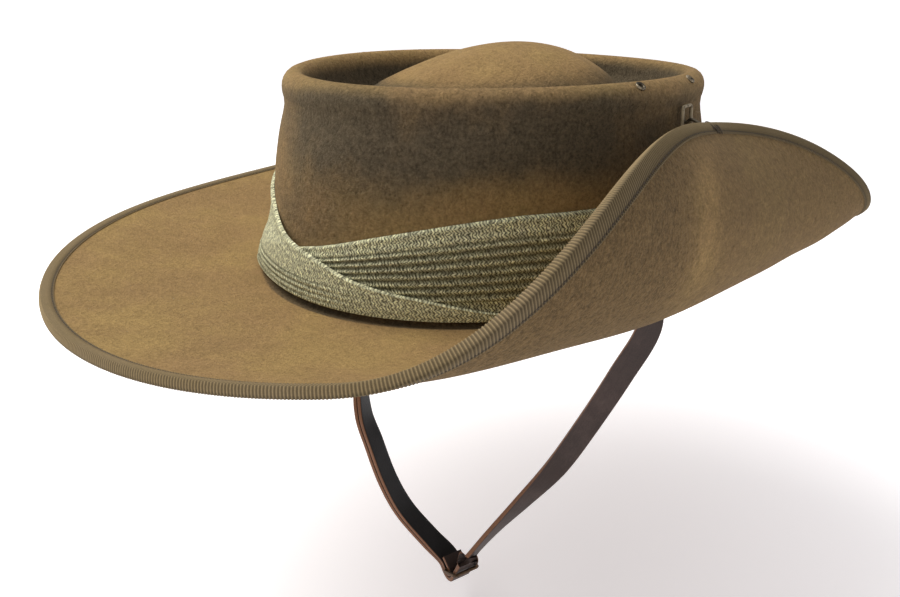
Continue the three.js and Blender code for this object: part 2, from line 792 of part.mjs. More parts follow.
// The buckle is a wire frame: the heel bar holds the fold, the far bar lies over the strap.
function buckleFrame() {
  const half = strapWidth / 2 + strapSideGap + buckleWire;
  const stand = tailRadius + strapThickness / 2 + gap + buckleWire;
  const far = fromHeel(leftLeave + 90, stand, leftLeave, buckleLength).place;
  const near = buckleHeel;
  const reach = far.clone().sub(near).normalize();
  const round = buckleWire * buckleCorner;
  const corners = [];
  for (const [end, inward] of [[near, 1], [far, -1]]) {
    const sides = inward > 0 ? [-1, 1] : [1, -1];
    for (const side of sides) {
      const corner = along(end, buckleAcross, side * half);
      const back = along(corner, reach, inward * round);
      const beside = along(corner, buckleAcross, -side * round);
      corners.push(...(side * inward < 0 ? [back, beside] : [beside, back]));
    }
  }
  return wire(corners, buckleWire, true);
}

// Finishes: colour, roughness and metalness of each material.
const finish = (color, roughness, metalness = 0) => (
  new THREE.MeshStandardMaterial({ color, roughness, metalness }));
const feltFinish = finish(0x80683f, 0.95);
const ribbonFinish = finish(0x5c5036, 0.85);
const clothFinish = finish(0x8f8f66, 0.95);
const leatherFinish = finish(0x3a2722, 0.5);
const metalFinish = finish(0x8a8478, 0.4, 0.9);
const bronzeFinish = finish(0x4a3a2a, 0.5, 0.8);

// The felt is pierced for the vents.
const manifold = await Module();
manifold.setup();

function solidOf(geometry) {
  const bare = new THREE.BufferGeometry();
  bare.setAttribute('position', geometry.getAttribute('position'));
  bare.setIndex(geometry.getIndex());
  const merged = mergeVertices(bare, 1e-4);
  return new manifold.Manifold(new manifold.Mesh({
    numProp: 3,
    vertProperties: new Float32Array(merged.getAttribute('position').array),
    triVerts: new Uint32Array(merged.getIndex().array),
  }));
}

function pierced(geometry, cutters) {
  const solid = cutters.reduce((whole, cutter) => whole.subtract(solidOf(cutter)), solidOf(geometry));
  const mesh = solid.getMesh();
  const result = new THREE.BufferGeometry();
  result.setAttribute('position', new THREE.BufferAttribute(mesh.vertProperties, 3));
  result.setIndex(new THREE.BufferAttribute(mesh.triVerts, 1));
  return result;
}

// Assembly.
const group = new THREE.Group();

function add(name, geometry, material) {
  const mesh = new THREE.Mesh(geometry, material);
  mesh.name = name;
  group.add(mesh);
}

const ventFrames = ventTurns.map(({ name, turn }) => (
  { name, frame: crownFrame(rad(turn), ridgeHeight - ventDrop) }));
add('felt_body', pierced(feltBody(), ventFrames.map(({ frame }) => ventCutter(frame))), feltFinish);
add('brim_binding', brimBinding(), ribbonFinish);
add('band_under_wrap', bandUnderWrap(), clothFinish);
add('band_over_wrap', bandOverWrap(), clothFinish);
for (const { name, frame } of ventFrames) add(name, ventEyelet(frame), metalFinish);
add('crown_loop', crownLoop(), metalFinish);
add('crown_loop_tab', crownLoopTab(), clothFinish);
add('brim_hook', brimHook(), metalFinish);
add('chin_strap', chinStrap(), leatherFinish);
add('buckle_frame', buckleFrame(), bronzeFinish);

export default group;
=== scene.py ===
"""Looks of a felt slouch hat with its left side turned up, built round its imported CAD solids.

Sizes are in millimetres and become metres where a mesh is made. +Z is up, -Y is the hat's front
and +X is the wearer's left. A turn is an angle round the hat: 0 is the wearer's left, 90 degrees
the back and 180 degrees the wearer's right.
"""

import logging
import math
from dataclasses import dataclass, field
from enum import Enum
from typing import Any, ClassVar, Optional, Sequence, Union

import bmesh
import bpy
import numpy as np
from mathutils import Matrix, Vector


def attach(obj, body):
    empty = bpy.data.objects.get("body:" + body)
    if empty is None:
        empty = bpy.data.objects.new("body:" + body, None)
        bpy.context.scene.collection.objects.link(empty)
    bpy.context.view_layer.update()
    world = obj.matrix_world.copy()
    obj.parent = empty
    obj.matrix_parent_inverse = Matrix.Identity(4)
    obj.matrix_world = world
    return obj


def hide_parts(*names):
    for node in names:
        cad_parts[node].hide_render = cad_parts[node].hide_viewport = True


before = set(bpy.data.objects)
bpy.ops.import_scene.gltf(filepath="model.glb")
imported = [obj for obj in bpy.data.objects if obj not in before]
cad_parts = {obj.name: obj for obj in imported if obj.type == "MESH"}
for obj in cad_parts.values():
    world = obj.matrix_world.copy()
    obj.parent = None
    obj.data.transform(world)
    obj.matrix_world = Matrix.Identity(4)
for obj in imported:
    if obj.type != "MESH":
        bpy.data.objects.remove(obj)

Array = np.ndarray
Number = Union[float, Array]
Colour = tuple[float, float, float, float]
Piece = bpy.types.Object
Material = bpy.types.Material
Operand = Union["Value", float]

MM = 0.001
LOG = logging.getLogger("hat")


def lerp(a: Number, b: Number, share: Number) -> Number:
    """The value a share of the way from a to b."""
    return a + (b - a) * share


def smoothstep(x: Number, low: float, high: float) -> Number:
    """0 below low, 1 above high and an S between them."""
    t = np.clip((x - low) / (high - low), 0, 1)
    return t * t * (3 - 2 * t)


def bell(x: Number, centre: float, width: float) -> Number:
    """A hump of height 1 at centre, which falls to 0.37 one width away."""
    return np.exp(-(((x - centre) / width) ** 2))


def hump(x: Number, start: float, full: float, past: float, end: float) -> Number:
    """0 below start, 1 from full to past, and 0 again above end."""
    return smoothstep(x, start, full) * (1 - smoothstep(x, past, end))


def towards(turns: Array, bearing: float, width: float) -> Array:
    """1 at turns, in radians, that point along a bearing in degrees, and 0 far off to its sides."""
    aside = np.degrees(np.angle(np.exp(1j * (turns - math.radians(bearing)))))
    return bell(aside, 0.0, width)


def unit(vectors: Array) -> Array:
    """The vectors scaled to length one."""
    return vectors / np.maximum(np.linalg.norm(vectors, axis=-1, keepdims=True), 1e-9)


def stack(x: Number, y: Number, z: Number) -> Array:
    """Points from their coordinates, spread to one common shape."""
    return np.stack(np.broadcast_arrays(x, y, z), axis=-1).astype(float)


def level(degrees: Number) -> Array:
    """The level direction at an angle round the hat."""
    angle = np.radians(degrees)
    return stack(np.cos(angle), np.sin(angle), 0.0)


def spline(knots: Array, values: Array, at: Array) -> Array:
    """Reads a natural cubic spline.

    Args:
        knots: Growing places, one for each row of values.
        values: What the curve passes through, with the rows on the first axis.
        at: Places to read it at.

    Returns:
        One row for each place.
    """
    count = len(knots)
    step = np.diff(knots)
    flat = values.reshape(count, -1)
    slope = np.diff(flat, axis=0) / step[:, None]
    matrix = np.eye(count)
    right = np.zeros_like(flat)
    inner = np.arange(1, count - 1)
    matrix[inner, inner - 1] = step[:-1]
    matrix[inner, inner] = 2 * (step[:-1] + step[1:])
    matrix[inner, inner + 1] = step[1:]
    right[1:-1] = 6 * np.diff(slope, axis=0)
    bend = np.linalg.solve(matrix, right)
    i = np.clip(np.searchsorted(knots, at) - 1, 0, count - 2)
    h = step[i][:, None]
    b = ((at - knots[i]) / step[i])[:, None]
    a = 1 - b
    curve = a * flat[i] + b * flat[i + 1]
    curve += ((a**3 - a) * bend[i] + (b**3 - b) * bend[i + 1]) * h * h / 6
    return curve.reshape((len(at),) + values.shape[1:])


def through(points: Array, per_span: int) -> Array:
    """Places on the centripetal curve that passes through points, per_span of them for each span."""
    points = np.asarray(points, float)
    ends = np.concatenate([[2 * points[0] - points[1]], points, [2 * points[-1] - points[-2]]])
    gaps = np.maximum(np.sqrt(np.linalg.norm(np.diff(ends, axis=0), axis=1)), 1e-4)
    total = (len(points) - 1) * per_span
    share = np.arange(total + 1) / per_span
    i = np.minimum(share.astype(int), len(points) - 2)
    t = (share - i)[:, None]
    p0, p1, p2, p3 = (ends[i + k] for k in range(4))
    d0, d1, d2 = (gaps[i + k][:, None] for k in range(3))
    leave = ((p1 - p0) / d0 - (p2 - p0) / (d0 + d1) + (p2 - p1) / d1) * d1
    reach = ((p2 - p1) / d1 - (p3 - p1) / (d1 + d2) + (p3 - p2) / d2) * d1
    start = (2 * t**3 - 3 * t**2 + 1) * p1 + (t**3 - 2 * t**2 + t) * leave
    return start + (3 * t**2 - 2 * t**3) * p2 + (t**3 - t**2) * reach


def lengths_along(points: Array) -> Array:
    """The distance from the first point to each point of a line."""
    steps = np.linalg.norm(np.diff(points, axis=0), axis=-1)
    return np.concatenate([[0.0], np.cumsum(steps)])


@dataclass
class Surface:
    """Grids of points in millimetres that become one closed mesh.

    Attributes:
        points: Rows, columns and coordinates, with a first axis for copies where there are many.
        wrap_rows: Whether the last row meets the first.
        cap: Whether the first and last rows are closed with a flat face.
        poles: Whether the first and last rows are single points.
        uv: A map of the same rows and columns, with one more column and, if the rows wrap, one
            more row, so that the map has no jump inside a face.
        masks: Numbers for each point, which become named attributes.
    """

    points: Array
    wrap_rows: bool = False
    cap: bool = False
    poles: bool = False
    uv: Optional[Array] = None
    masks: dict[str, Array] = field(default_factory=dict)

    def build(
        self, name: str, material: Optional[Material] = None, sharp: Optional[float] = None
    ) -> Piece:
        """Makes the object.

        Args:
            name: The piece's name.
            material: Its material.
            sharp: Edges that turn by more than this many degrees are shaded sharp.

        Returns:
            The new object, at the origin.
        """
        grids = self.points if self.points.ndim == 4 else self.points[None]
        copies, rows, columns = grids.shape[:3]
        row, column = np.meshgrid(
            np.arange(rows if self.wrap_rows else rows - 1), np.arange(columns), indexing="ij"
        )
        corner_rows = np.stack([row, row, row + 1, row + 1], -1).reshape(-1, 4)
        corner_columns = np.stack([column, column + 1, column + 1, column], -1).reshape(-1, 4)
        groups = [(corner_rows, corner_columns)]
        if self.poles:
            first, last = corner_rows[:, 0] == 0, corner_rows[:, 3] == rows - 1
            middle = ~(first | last)
            groups = [
                (corner_rows[middle], corner_columns[middle]),
                (corner_rows[first][:, [0, 2, 3]], corner_columns[first][:, [0, 2, 3]]),
                (corner_rows[last][:, [0, 1, 2]], corner_columns[last][:, [0, 1, 2]]),
            ]
        if self.cap:
            ring = np.arange(columns)[None]
            groups.append((np.zeros_like(ring), ring[:, ::-1]))
            groups.append((np.full_like(ring, rows - 1), ring))
        faces, corners, flat = [], [], grids.reshape(copies, rows * columns, 3)
        shift = (np.arange(copies) * rows * columns)[:, None, None]
        for r, c in groups:
            index = (r % rows) * columns + c % columns
            if self.poles:
                index = np.where(np.isin(r, (0, rows - 1)), r * columns, index)
            faces.extend((index[None] + shift).reshape(-1, index.shape[1]).tolist())
            if self.uv is not None:
                corners.append(np.tile(self.uv[r, c].reshape(-1, 2), (copies, 1)))
        quads = flat[0][((corner_rows % rows) * columns + corner_columns % columns)]
        middle = quads.mean(1)
        facing = np.cross(quads[:, 2] - quads[:, 0], quads[:, 3] - quads[:, 1])
        if (middle * facing).sum() < 0:
            faces = [face[::-1] for face in faces]
            corners = [
                part.reshape(-1, r.shape[1], 2)[:, ::-1].reshape(-1, 2)
                for part, (r, _) in zip(corners, groups)
            ]
        mesh = bpy.data.meshes.new(name)
        mesh.from_pydata((flat.reshape(-1, 3) * MM).tolist(), [], faces)
        if corners:
            layer = mesh.uv_layers.new(name="Cloth")
            layer.data.foreach_set("uv", np.concatenate(corners).astype(np.float32).ravel())
        for mask, values in self.masks.items():
            spread = np.broadcast_to(values, grids.shape[:3]).astype(np.float32)
            mesh.attributes.new(mask, "FLOAT", "POINT").data.foreach_set("value", spread.ravel())
        if material:
            mesh.materials.append(material)
        return finished(mesh, sharp)


def finished(mesh: bpy.types.Mesh, sharp: Optional[float]) -> Piece:
    """Drops loose points, shades the mesh smooth and puts it in the scene under its own name."""
    object_made = bpy.data.objects.new(mesh.name, mesh)
    bpy.context.scene.collection.objects.link(object_made)
    used = np.zeros(len(mesh.vertices), bool)
    index = np.zeros(len(mesh.loops), np.int32)
    mesh.loops.foreach_get("vertex_index", index)
    used[index] = True
    if not used.all():
        work = bmesh.new()
        work.from_mesh(mesh)
        loose = [vertex for vertex in work.verts if not vertex.link_faces]
        bmesh.ops.delete(work, geom=loose, context="VERTS")
        work.to_mesh(mesh)
        work.free()
    mesh.shade_smooth()
    if sharp is not None:
        mesh.set_sharp_from_angle(angle=math.radians(sharp))
    return object_made


def square_to(path: Array, across: Array) -> tuple[Array, Array]:
    """Directions square to a path: the part of across that is square to it, and one square to both."""
    forward = unit(np.gradient(path, axis=-2))
    across = np.broadcast_to(across, path.shape)
    wide = unit(across - (across * forward).sum(-1, keepdims=True) * forward)
    return wide, np.cross(forward, wide)


def sweep(path: Array, across: Array, section: Array) -> Array:
    """Carries a flat section along a path, square to it.

    Args:
        path: Places along the piece.
        across: The direction of the section's first axis at each place, or one for all.
        section: The section's points, as distances on its two axes.

    Returns:
        A grid with a row for each place and a column for each point of the section.
    """
    path, wide, face = (part[..., None, :] for part in (path, *square_to(path, across)))
    return path + wide * section[..., :1] + face * section[..., 1:]


def ring(radius: float, sides: int) -> Array:
    """A round section."""
    angle = np.arange(sides) * 2 * np.pi / sides
    return radius * np.stack([np.cos(angle), np.sin(angle)], -1)


def flat_map(across: Array, along: Array) -> Array:
    """A map of a piece laid flat, with one more column so that it has no jump inside a face."""
    uv = np.stack(np.broadcast_arrays(across, along), -1)
    return np.concatenate([uv, uv[:, :1]], axis=1)


def frame_outline(half_width: float, length: float, corner: float) -> tuple[Array, Array]:
    """A rectangle with round corners, once round: places across it and up it from its lower bar."""
    angle = np.radians(np.arange(0, 360, 15) + 7.5)
    across = (half_width - corner) * np.sign(np.cos(angle)) + corner * np.cos(angle)
    up = length / 2 + (length / 2 - corner) * np.sign(np.sin(angle)) + corner * np.sin(angle)
    return across, up


def wire_round(path: Array, steps: int, facing: Array, radius: float) -> Surface:
    """A wire bent round a closed path.

    Args:
        path: Corners of the path, without the first one again.
        steps: Even steps that the path is cut into.
        facing: The direction that the frame faces.
        radius: The wire's radius.

    Returns:
        The wire's surface.
    """
    path = np.concatenate([path, path[:1]])
    knots = lengths_along(path)
    even = np.linspace(0, knots[-1], steps, endpoint=False)
    path = np.stack([np.interp(even, knots, path[:, i]) for i in range(3)], -1)
    wrapped = np.concatenate([path[-1:], path, path[:1]])
    return Surface(sweep(wrapped, facing, ring(radius, 12))[1:-1], wrap_rows=True)


def rounded_bar(width: float, thickness: float, corner: float, steps: int, face_steps: int) -> Array:
    """A flat section with round corners and evenly placed points on its broad faces.

    Args:
        width: Size on the first axis.
        thickness: Size on the second axis.
        corner: Radius of the corners.
        steps: Spans in each corner.
        face_steps: Spans on each broad face.

    Returns:
        The section's points, once round.
    """
    half_width, half_thick = width / 2 - corner, thickness / 2 - corner
    parts = []
    for quarter, (w, t) in enumerate([(1, 1), (-1, 1), (-1, -1), (1, -1)]):
        angle = np.pi / 2 * (quarter + np.arange(steps + 1) / steps)
        arc = np.stack([np.cos(angle), np.sin(angle)], -1) * corner
        parts.append(arc + [w * half_width, t * half_thick])
        if quarter % 2 == 0:
            span = lerp(w * half_width, -w * half_width, np.arange(1, face_steps) / face_steps)
            parts.append(np.stack([span, np.full_like(span, t * thickness / 2)], -1))
    return np.concatenate(parts)


class Value:
    """A socket of a material's nodes. Arithmetic on it adds Math nodes."""

    def __init__(self, sheet: "NodeSheet", socket: bpy.types.NodeSocket) -> None:
        """Keeps the socket and the sheet that it belongs to."""
        self.sheet = sheet
        self.socket = socket

    def math(self, operation: str, *others: Operand) -> "Value":
        """This value and others put through one Math node."""
        inputs = dict(enumerate((self, *others)))
        return self.sheet.node("ShaderNodeMath", {"operation": operation}, inputs)

    def __add__(self, other: Operand) -> "Value":
        """The sum."""
        return self.math("ADD", other)

    def __sub__(self, other: Operand) -> "Value":
        """The difference."""
        return self.math("SUBTRACT", other)

    def __rsub__(self, other: float) -> "Value":
        """The difference from a number."""
        return self.sheet.node("ShaderNodeMath", {"operation": "SUBTRACT"}, {0: other, 1: self})

    def __mul__(self, other: Operand) -> "Value":
        """The product."""
        return self.math("MULTIPLY", other)

    def between(self, low: float, high: float) -> "Value":
        """0 below low and 1 above high, with an S between them."""
        settings = {"interpolation_type": "SMOOTHSTEP"}
        return self.sheet.node("ShaderNodeMapRange", settings, {"Value": self, 1: low, 2: high})

    def wave(self, cycle: float = 1.0) -> "Value":
        """A wave from 0 to 1, which is 1 where the value is a whole number of cycles."""
        return (self * (2 * math.pi / cycle)).math("COSINE") * 0.5 + 0.5


class NodeSheet:
    """The nodes of one material."""

    def __init__(self, name: str) -> None:
        """Starts an empty material."""
        self.material = bpy.data.materials.new(name)
        self.material.use_nodes = True
        self.tree = self.material.node_tree
        self.tree.nodes.clear()

    def node(
        self,
        kind: str,
        settings: Optional[dict[str, Any]] = None,
        inputs: Optional[dict[Union[str, int], Any]] = None,
        output: Union[str, int] = 0,
    ) -> Value:
        """Adds a node.

        Args:
            kind: The node's type.
            settings: Its own settings.
            inputs: Values or links of its sockets, by name or number.
            output: The socket that is handed back.

        Returns:
            The output, ready for arithmetic.
        """
        made = self.tree.nodes.new(kind)
        for key, setting in (settings or {}).items():
            setattr(made, key, setting)
        for key, value in (inputs or {}).items():
            if isinstance(value, Value):
                self.tree.links.new(value.socket, made.inputs[key])
            else:
                made.inputs[key].default_value = value
        return Value(self, made.outputs[output])

    def place(self, scale: Sequence[float] = (1.0, 1.0, 1.0)) -> Value:
        """Places on the object, in metres times a scale."""
        where = self.node("ShaderNodeTexCoord", output="Object")
        return self.node("ShaderNodeMapping", inputs={"Vector": where, "Scale": tuple(scale)})

    def cloth(self, scale: Sequence[float] = (1.0, 1.0, 1.0)) -> Value:
        """Places on the piece's own map, in millimetres times a scale."""
        where = self.node("ShaderNodeUVMap", {"uv_map": "Cloth"})
        return self.node("ShaderNodeMapping", inputs={"Vector": where, "Scale": tuple(scale)})

    def axis(self, where: Value, name: str) -> Value:
        """One coordinate of a place."""
        return self.node("ShaderNodeSeparateXYZ", inputs={0: where}, output=name)

    def mask(self, name: str) -> Value:
        """A named attribute of the mesh."""
        return self.node("ShaderNodeAttribute", {"attribute_name": name}, output="Fac")

    def noise(self, where: Value, scale: float, detail: float = 3.0, rough: float = 0.55) -> Value:
        """Cloudy noise from 0 to 1."""
        inputs = {"Vector": where, "Scale": scale, "Detail": detail, "Roughness": rough}
        return self.node("ShaderNodeTexNoise", inputs=inputs)

    def cells(self, where: Value, scale: float) -> Value:
        """Distance to the nearest of scattered points."""
        return self.node("ShaderNodeTexVoronoi", {"feature": "F1"}, {"Vector": where, "Scale": scale})

    def mix(self, share: Value, a: Union[Value, Colour], b: Union[Value, Colour]) -> Value:
        """A colour a share of the way from a to b."""
        settings = {"data_type": "RGBA", "clamp_factor": True}
        return self.node("ShaderNodeMix", settings, {0: share, 6: a, 7: b}, output=2)

    def shade(self, colour: Value, amount: Value) -> Value:
        """A colour times a number."""
        settings = {"operation": "SCALE"}
        return self.node("ShaderNodeVectorMath", settings, {0: colour, "Scale": amount})

    def bump(self, height: Value, distance: float, strength: float = 1.0) -> Value:
        """A normal that is tipped by a height, with distance in millimetres."""
        inputs = {"Height": height, "Distance": distance * MM, "Strength": strength}
        return self.node("ShaderNodeBump", inputs=inputs, output="Normal")

    def close(self, **sockets: Any) -> Material:
        """Puts values on the shader's sockets, with underscores for spaces, and ends the material."""
        inputs = {key.replace("_", " "): value for key, value in sockets.items()}
        shader = self.node("ShaderNodeBsdfPrincipled", inputs=inputs)
        end = self.tree.nodes.new("ShaderNodeOutputMaterial")
        self.tree.links.new(shader.socket, end.inputs["Surface"])
        return self.material


@dataclass(frozen=True)
class Wave:
    """One slow wave round the hat, in shares of the size that it changes."""

    turns: int
    cosine: float
    sine: float


def swell(waves: Sequence[Wave], turn: Number) -> Number:
    """The sum of the waves at a turn."""
    parts = (w.cosine * np.cos(w.turns * turn) + w.sine * np.sin(w.turns * turn) for w in waves)
    return sum(parts)


@dataclass(frozen=True)
class Shoulder:
    """A row of the crown's wall. inset: in shares of the roll. up: in shares of the ridge's height."""

    inset: float
    up: float


@dataclass(frozen=True)
class Trench:
    """A row of the trench. reach: in shares of the ridge's half sizes. down: of the trench's depth."""

    reach: float
    down: float


@dataclass(frozen=True)
class HatShape:
    """The felt's form, as surfaces of its middle. Half sizes are to the middle of the felt."""

    thickness: float = 2.2
    crown_half_width: float = 83.5
    crown_half_length: float = 101.4
    ridge_half_width: float = 85.7
    ridge_half_length: float = 93.1
    ridge_height: float = 80.0
    ridge_roll: float = 11.0
    trench_depth: float = 15.5
    dome_rise: float = 9.3
    dome_depth: float = 20.1
    dome_left: float = 7.6
    dome_back: float = 4.9
    dome_reach: float = 0.62
    foot_radius: float = 3.0
    brim_width: float = 82.5
    brim_narrowing: float = 2.0
    fold_clearance: float = 9.2
    curl_length: float = 75.0
    curl_angle: float = 168.5
    curl_skew: float = -1.0
    curl_ease: float = 1.15
    curl_span: float = 1.48
    curl_steps: int = 24
    curl_length_taper: tuple[float, float, float] = (-0.71, -0.3, 0.3)
    curl_angle_taper: tuple[float, float] = (-0.34, -0.12)
    brim_dish: float = 0.244
    brim_swells: tuple[Wave, ...] = (
        Wave(1, 0.02, 0.051),
        Wave(2, 0.023, -0.096),
        Wave(3, 0.056, -0.023),
    )
    ridge_swells: tuple[Wave, ...] = (Wave(1, -0.019, 0.006), Wave(2, 0.009, 0.0))
    trench: tuple[Trench, ...] = (Trench(0.68, 0.83), Trench(0.75, 1.0), Trench(0.82, 0.86))
    wall: tuple[Shoulder, ...] = (
        Shoulder(1.08, 0.912),
        Shoulder(0.93, 0.971),
        Shoulder(0.66, 1.0),
        Shoulder(0.41, 0.985),
        Shoulder(0.28, 0.94),
        Shoulder(0.33, 0.887),
        Shoulder(0.24, 0.79),
        Shoulder(0.11, 0.69),
        Shoulder(0.0, 0.475),
        Shoulder(0.0, 0.27),
    )

    def oval(self, up: Number) -> tuple[Number, Number]:
        """Half width and half length of the crown's oval at a height."""
        climb = np.clip(up / self.ridge_height, 0, 1.1)
        half_width = lerp(self.crown_half_width, self.ridge_half_width, climb)
        return half_width, lerp(self.crown_half_length, self.ridge_half_length, climb)

    def crown_point(self, turn: Number, out: Number, up: Number) -> Array:
        """A point of the crown: its oval at a height, grown by out and lifted by the ridge's swell."""
        half_width, half_length = self.oval(up)
        climb = np.clip(up / self.ridge_height, 0, 1.1)
        lift = self.ridge_height * swell(self.ridge_swells, turn) * climb**2
        x, y = (half_width + out) * np.cos(turn), (half_length + out) * np.sin(turn)
        return stack(x, y, up + lift)

    def crown_facing(self, turn: Number, up: Number) -> Array:
        """The level direction that faces out of the crown's wall."""
        half_width, half_length = self.oval(up)
        return unit(stack(np.cos(turn) / half_width, np.sin(turn) / half_length, 0.0))

    def dome_point(self, turn: Number, reach: Number) -> Array:
        """A point of the dome, which falls as the square of its reach, with its top leaning aside."""
        share = (reach / self.dome_reach) ** 2
        x = reach * self.ridge_half_width * np.cos(turn) + self.dome_left * (1 - share)
        y = reach * self.ridge_half_length * np.sin(turn) + self.dome_back * (1 - share)
        return stack(x, y, self.ridge_height + self.dome_rise - self.dome_depth * share)

    def curled(self, flat: Array, share: Number, turn: Number) -> Array:
        """Carries points of the flat brim along the curl that turns the left side up.

        Past a line beside the crown the brim bends with a curvature that swells and fades over the
        curl's length, and it runs straight on after that. Length and angle change from the front to
        the back. The brim's own dish and swells lift it on top of that.

        Args:
            flat: Points of the flat brim.
            share: Their place from the crown's foot (0) to the edge (1).
            turn: Their turns.

        Returns:
            The points in place.
        """
        skew = math.radians(self.curl_skew)
        outward = np.array([math.cos(skew), math.sin(skew), 0.0])
        backward = np.array([-outward[1], outward[0], 0.0])
        back = flat @ backward
        place = back / (self.curl_span * self.crown_half_length)
        linear, square, cube = self.curl_length_taper
        length = self.curl_length * np.exp(linear * place + square * place**2 + cube * place**3)
        linear, square = self.curl_angle_taper
        angle = math.radians(self.curl_angle) * np.exp(linear * place + square * place**2)
        start = self.crown_half_width + self.fold_clearance
        past = flat @ outward - start
        bent = np.clip(past / length, 0, 1)
        at = (np.arange(self.curl_steps) + 0.5) / self.curl_steps * bent[..., None]
        ease = (1 - self.curl_ease) * at + self.curl_ease * at * at * (3 - 2 * at)
        heading = angle[..., None] * ease
        straight = np.maximum(past - length, 0)
        out = np.minimum(past, 0) + np.cos(heading).mean(-1) * bent * length
        up = np.sin(heading).mean(-1) * bent * length
        out = out + np.cos(angle) * straight
        up = up + np.sin(angle) * straight
        lift = self.brim_dish + swell(self.brim_swells, turn)
        up = up + self.brim_width * lift * np.maximum(share, 0) ** 1.5
        risen = np.multiply.outer(up, np.array([0.0, 0.0, 1.0]))
        return np.multiply.outer(start + out, outward) + np.multiply.outer(back, backward) + risen

    def brim_point(self, turn: Array, share: Array) -> Array:
        """The middle of the brim's felt. turn and share spread to one grid."""
        turn, share = np.broadcast_arrays(turn, share)
        width = self.brim_width - self.brim_narrowing * np.cos(2 * turn)
        flat = self.crown_point(turn, 0.0, np.zeros_like(turn)) * [1, 1, 0]
        flat = flat + self.crown_facing(turn, 0.0) * (share * width)[..., None]
        return self.curled(flat, share, turn)

    def brim_frame(self, turn: Array, share: Array) -> tuple[Array, Array, Array]:
        """Places on the brim, with the direction that leads out and the one that faces up from it."""
        step = 0.01
        place = self.brim_point(turn, share)
        outward = unit(place - self.brim_point(turn, share - step))
        round_way = self.brim_point(turn + step, share) - self.brim_point(turn - step, share)
        return place, outward, unit(np.cross(outward, round_way))

    def crown_frame(self, turn: float, up: float) -> tuple[Array, Array, Array]:
        """A place on the crown's wall, with the directions that face out of it and up along it."""
        rows = [row for row in self.wall if row.inset <= self.wall[2].inset][::-1]
        ups = [row.up * self.ridge_height for row in rows]
        insets = [row.inset * self.ridge_roll for row in rows]

        def at(a: float, height: float) -> Array:
            """The wall's middle at a turn and height."""
            return self.crown_point(a, -float(np.interp(height, ups, insets)), height)

        step = 0.7
        place = at(turn, up)
        rise = unit(at(turn, up + step) - at(turn, up - step))
        return place, unit(np.cross(at(turn + 0.01, up) - place, rise)), rise


@dataclass(frozen=True)
class Patch:
    """A patch of dirt and painted shade on the wall, or a lighter one where its amount is below zero.

    Attributes:
        turn: Its middle round the hat, in degrees.
        width: How far it reaches round the hat, in degrees.
        height: Its middle above the brim.
        spread: How far it reaches up and down.
        amount: How much dirt and painted shade it adds.
    """

    turn: float
    width: float
    height: float
    spread: float
    amount: float


class Region(Enum):
    """Stretches of the felt from the top of the dome to the brim's edge, with their rows."""

    DOME = 18
    ROLL = 38
    WALL = 22
    FOOT = 8
    BRIM = 44


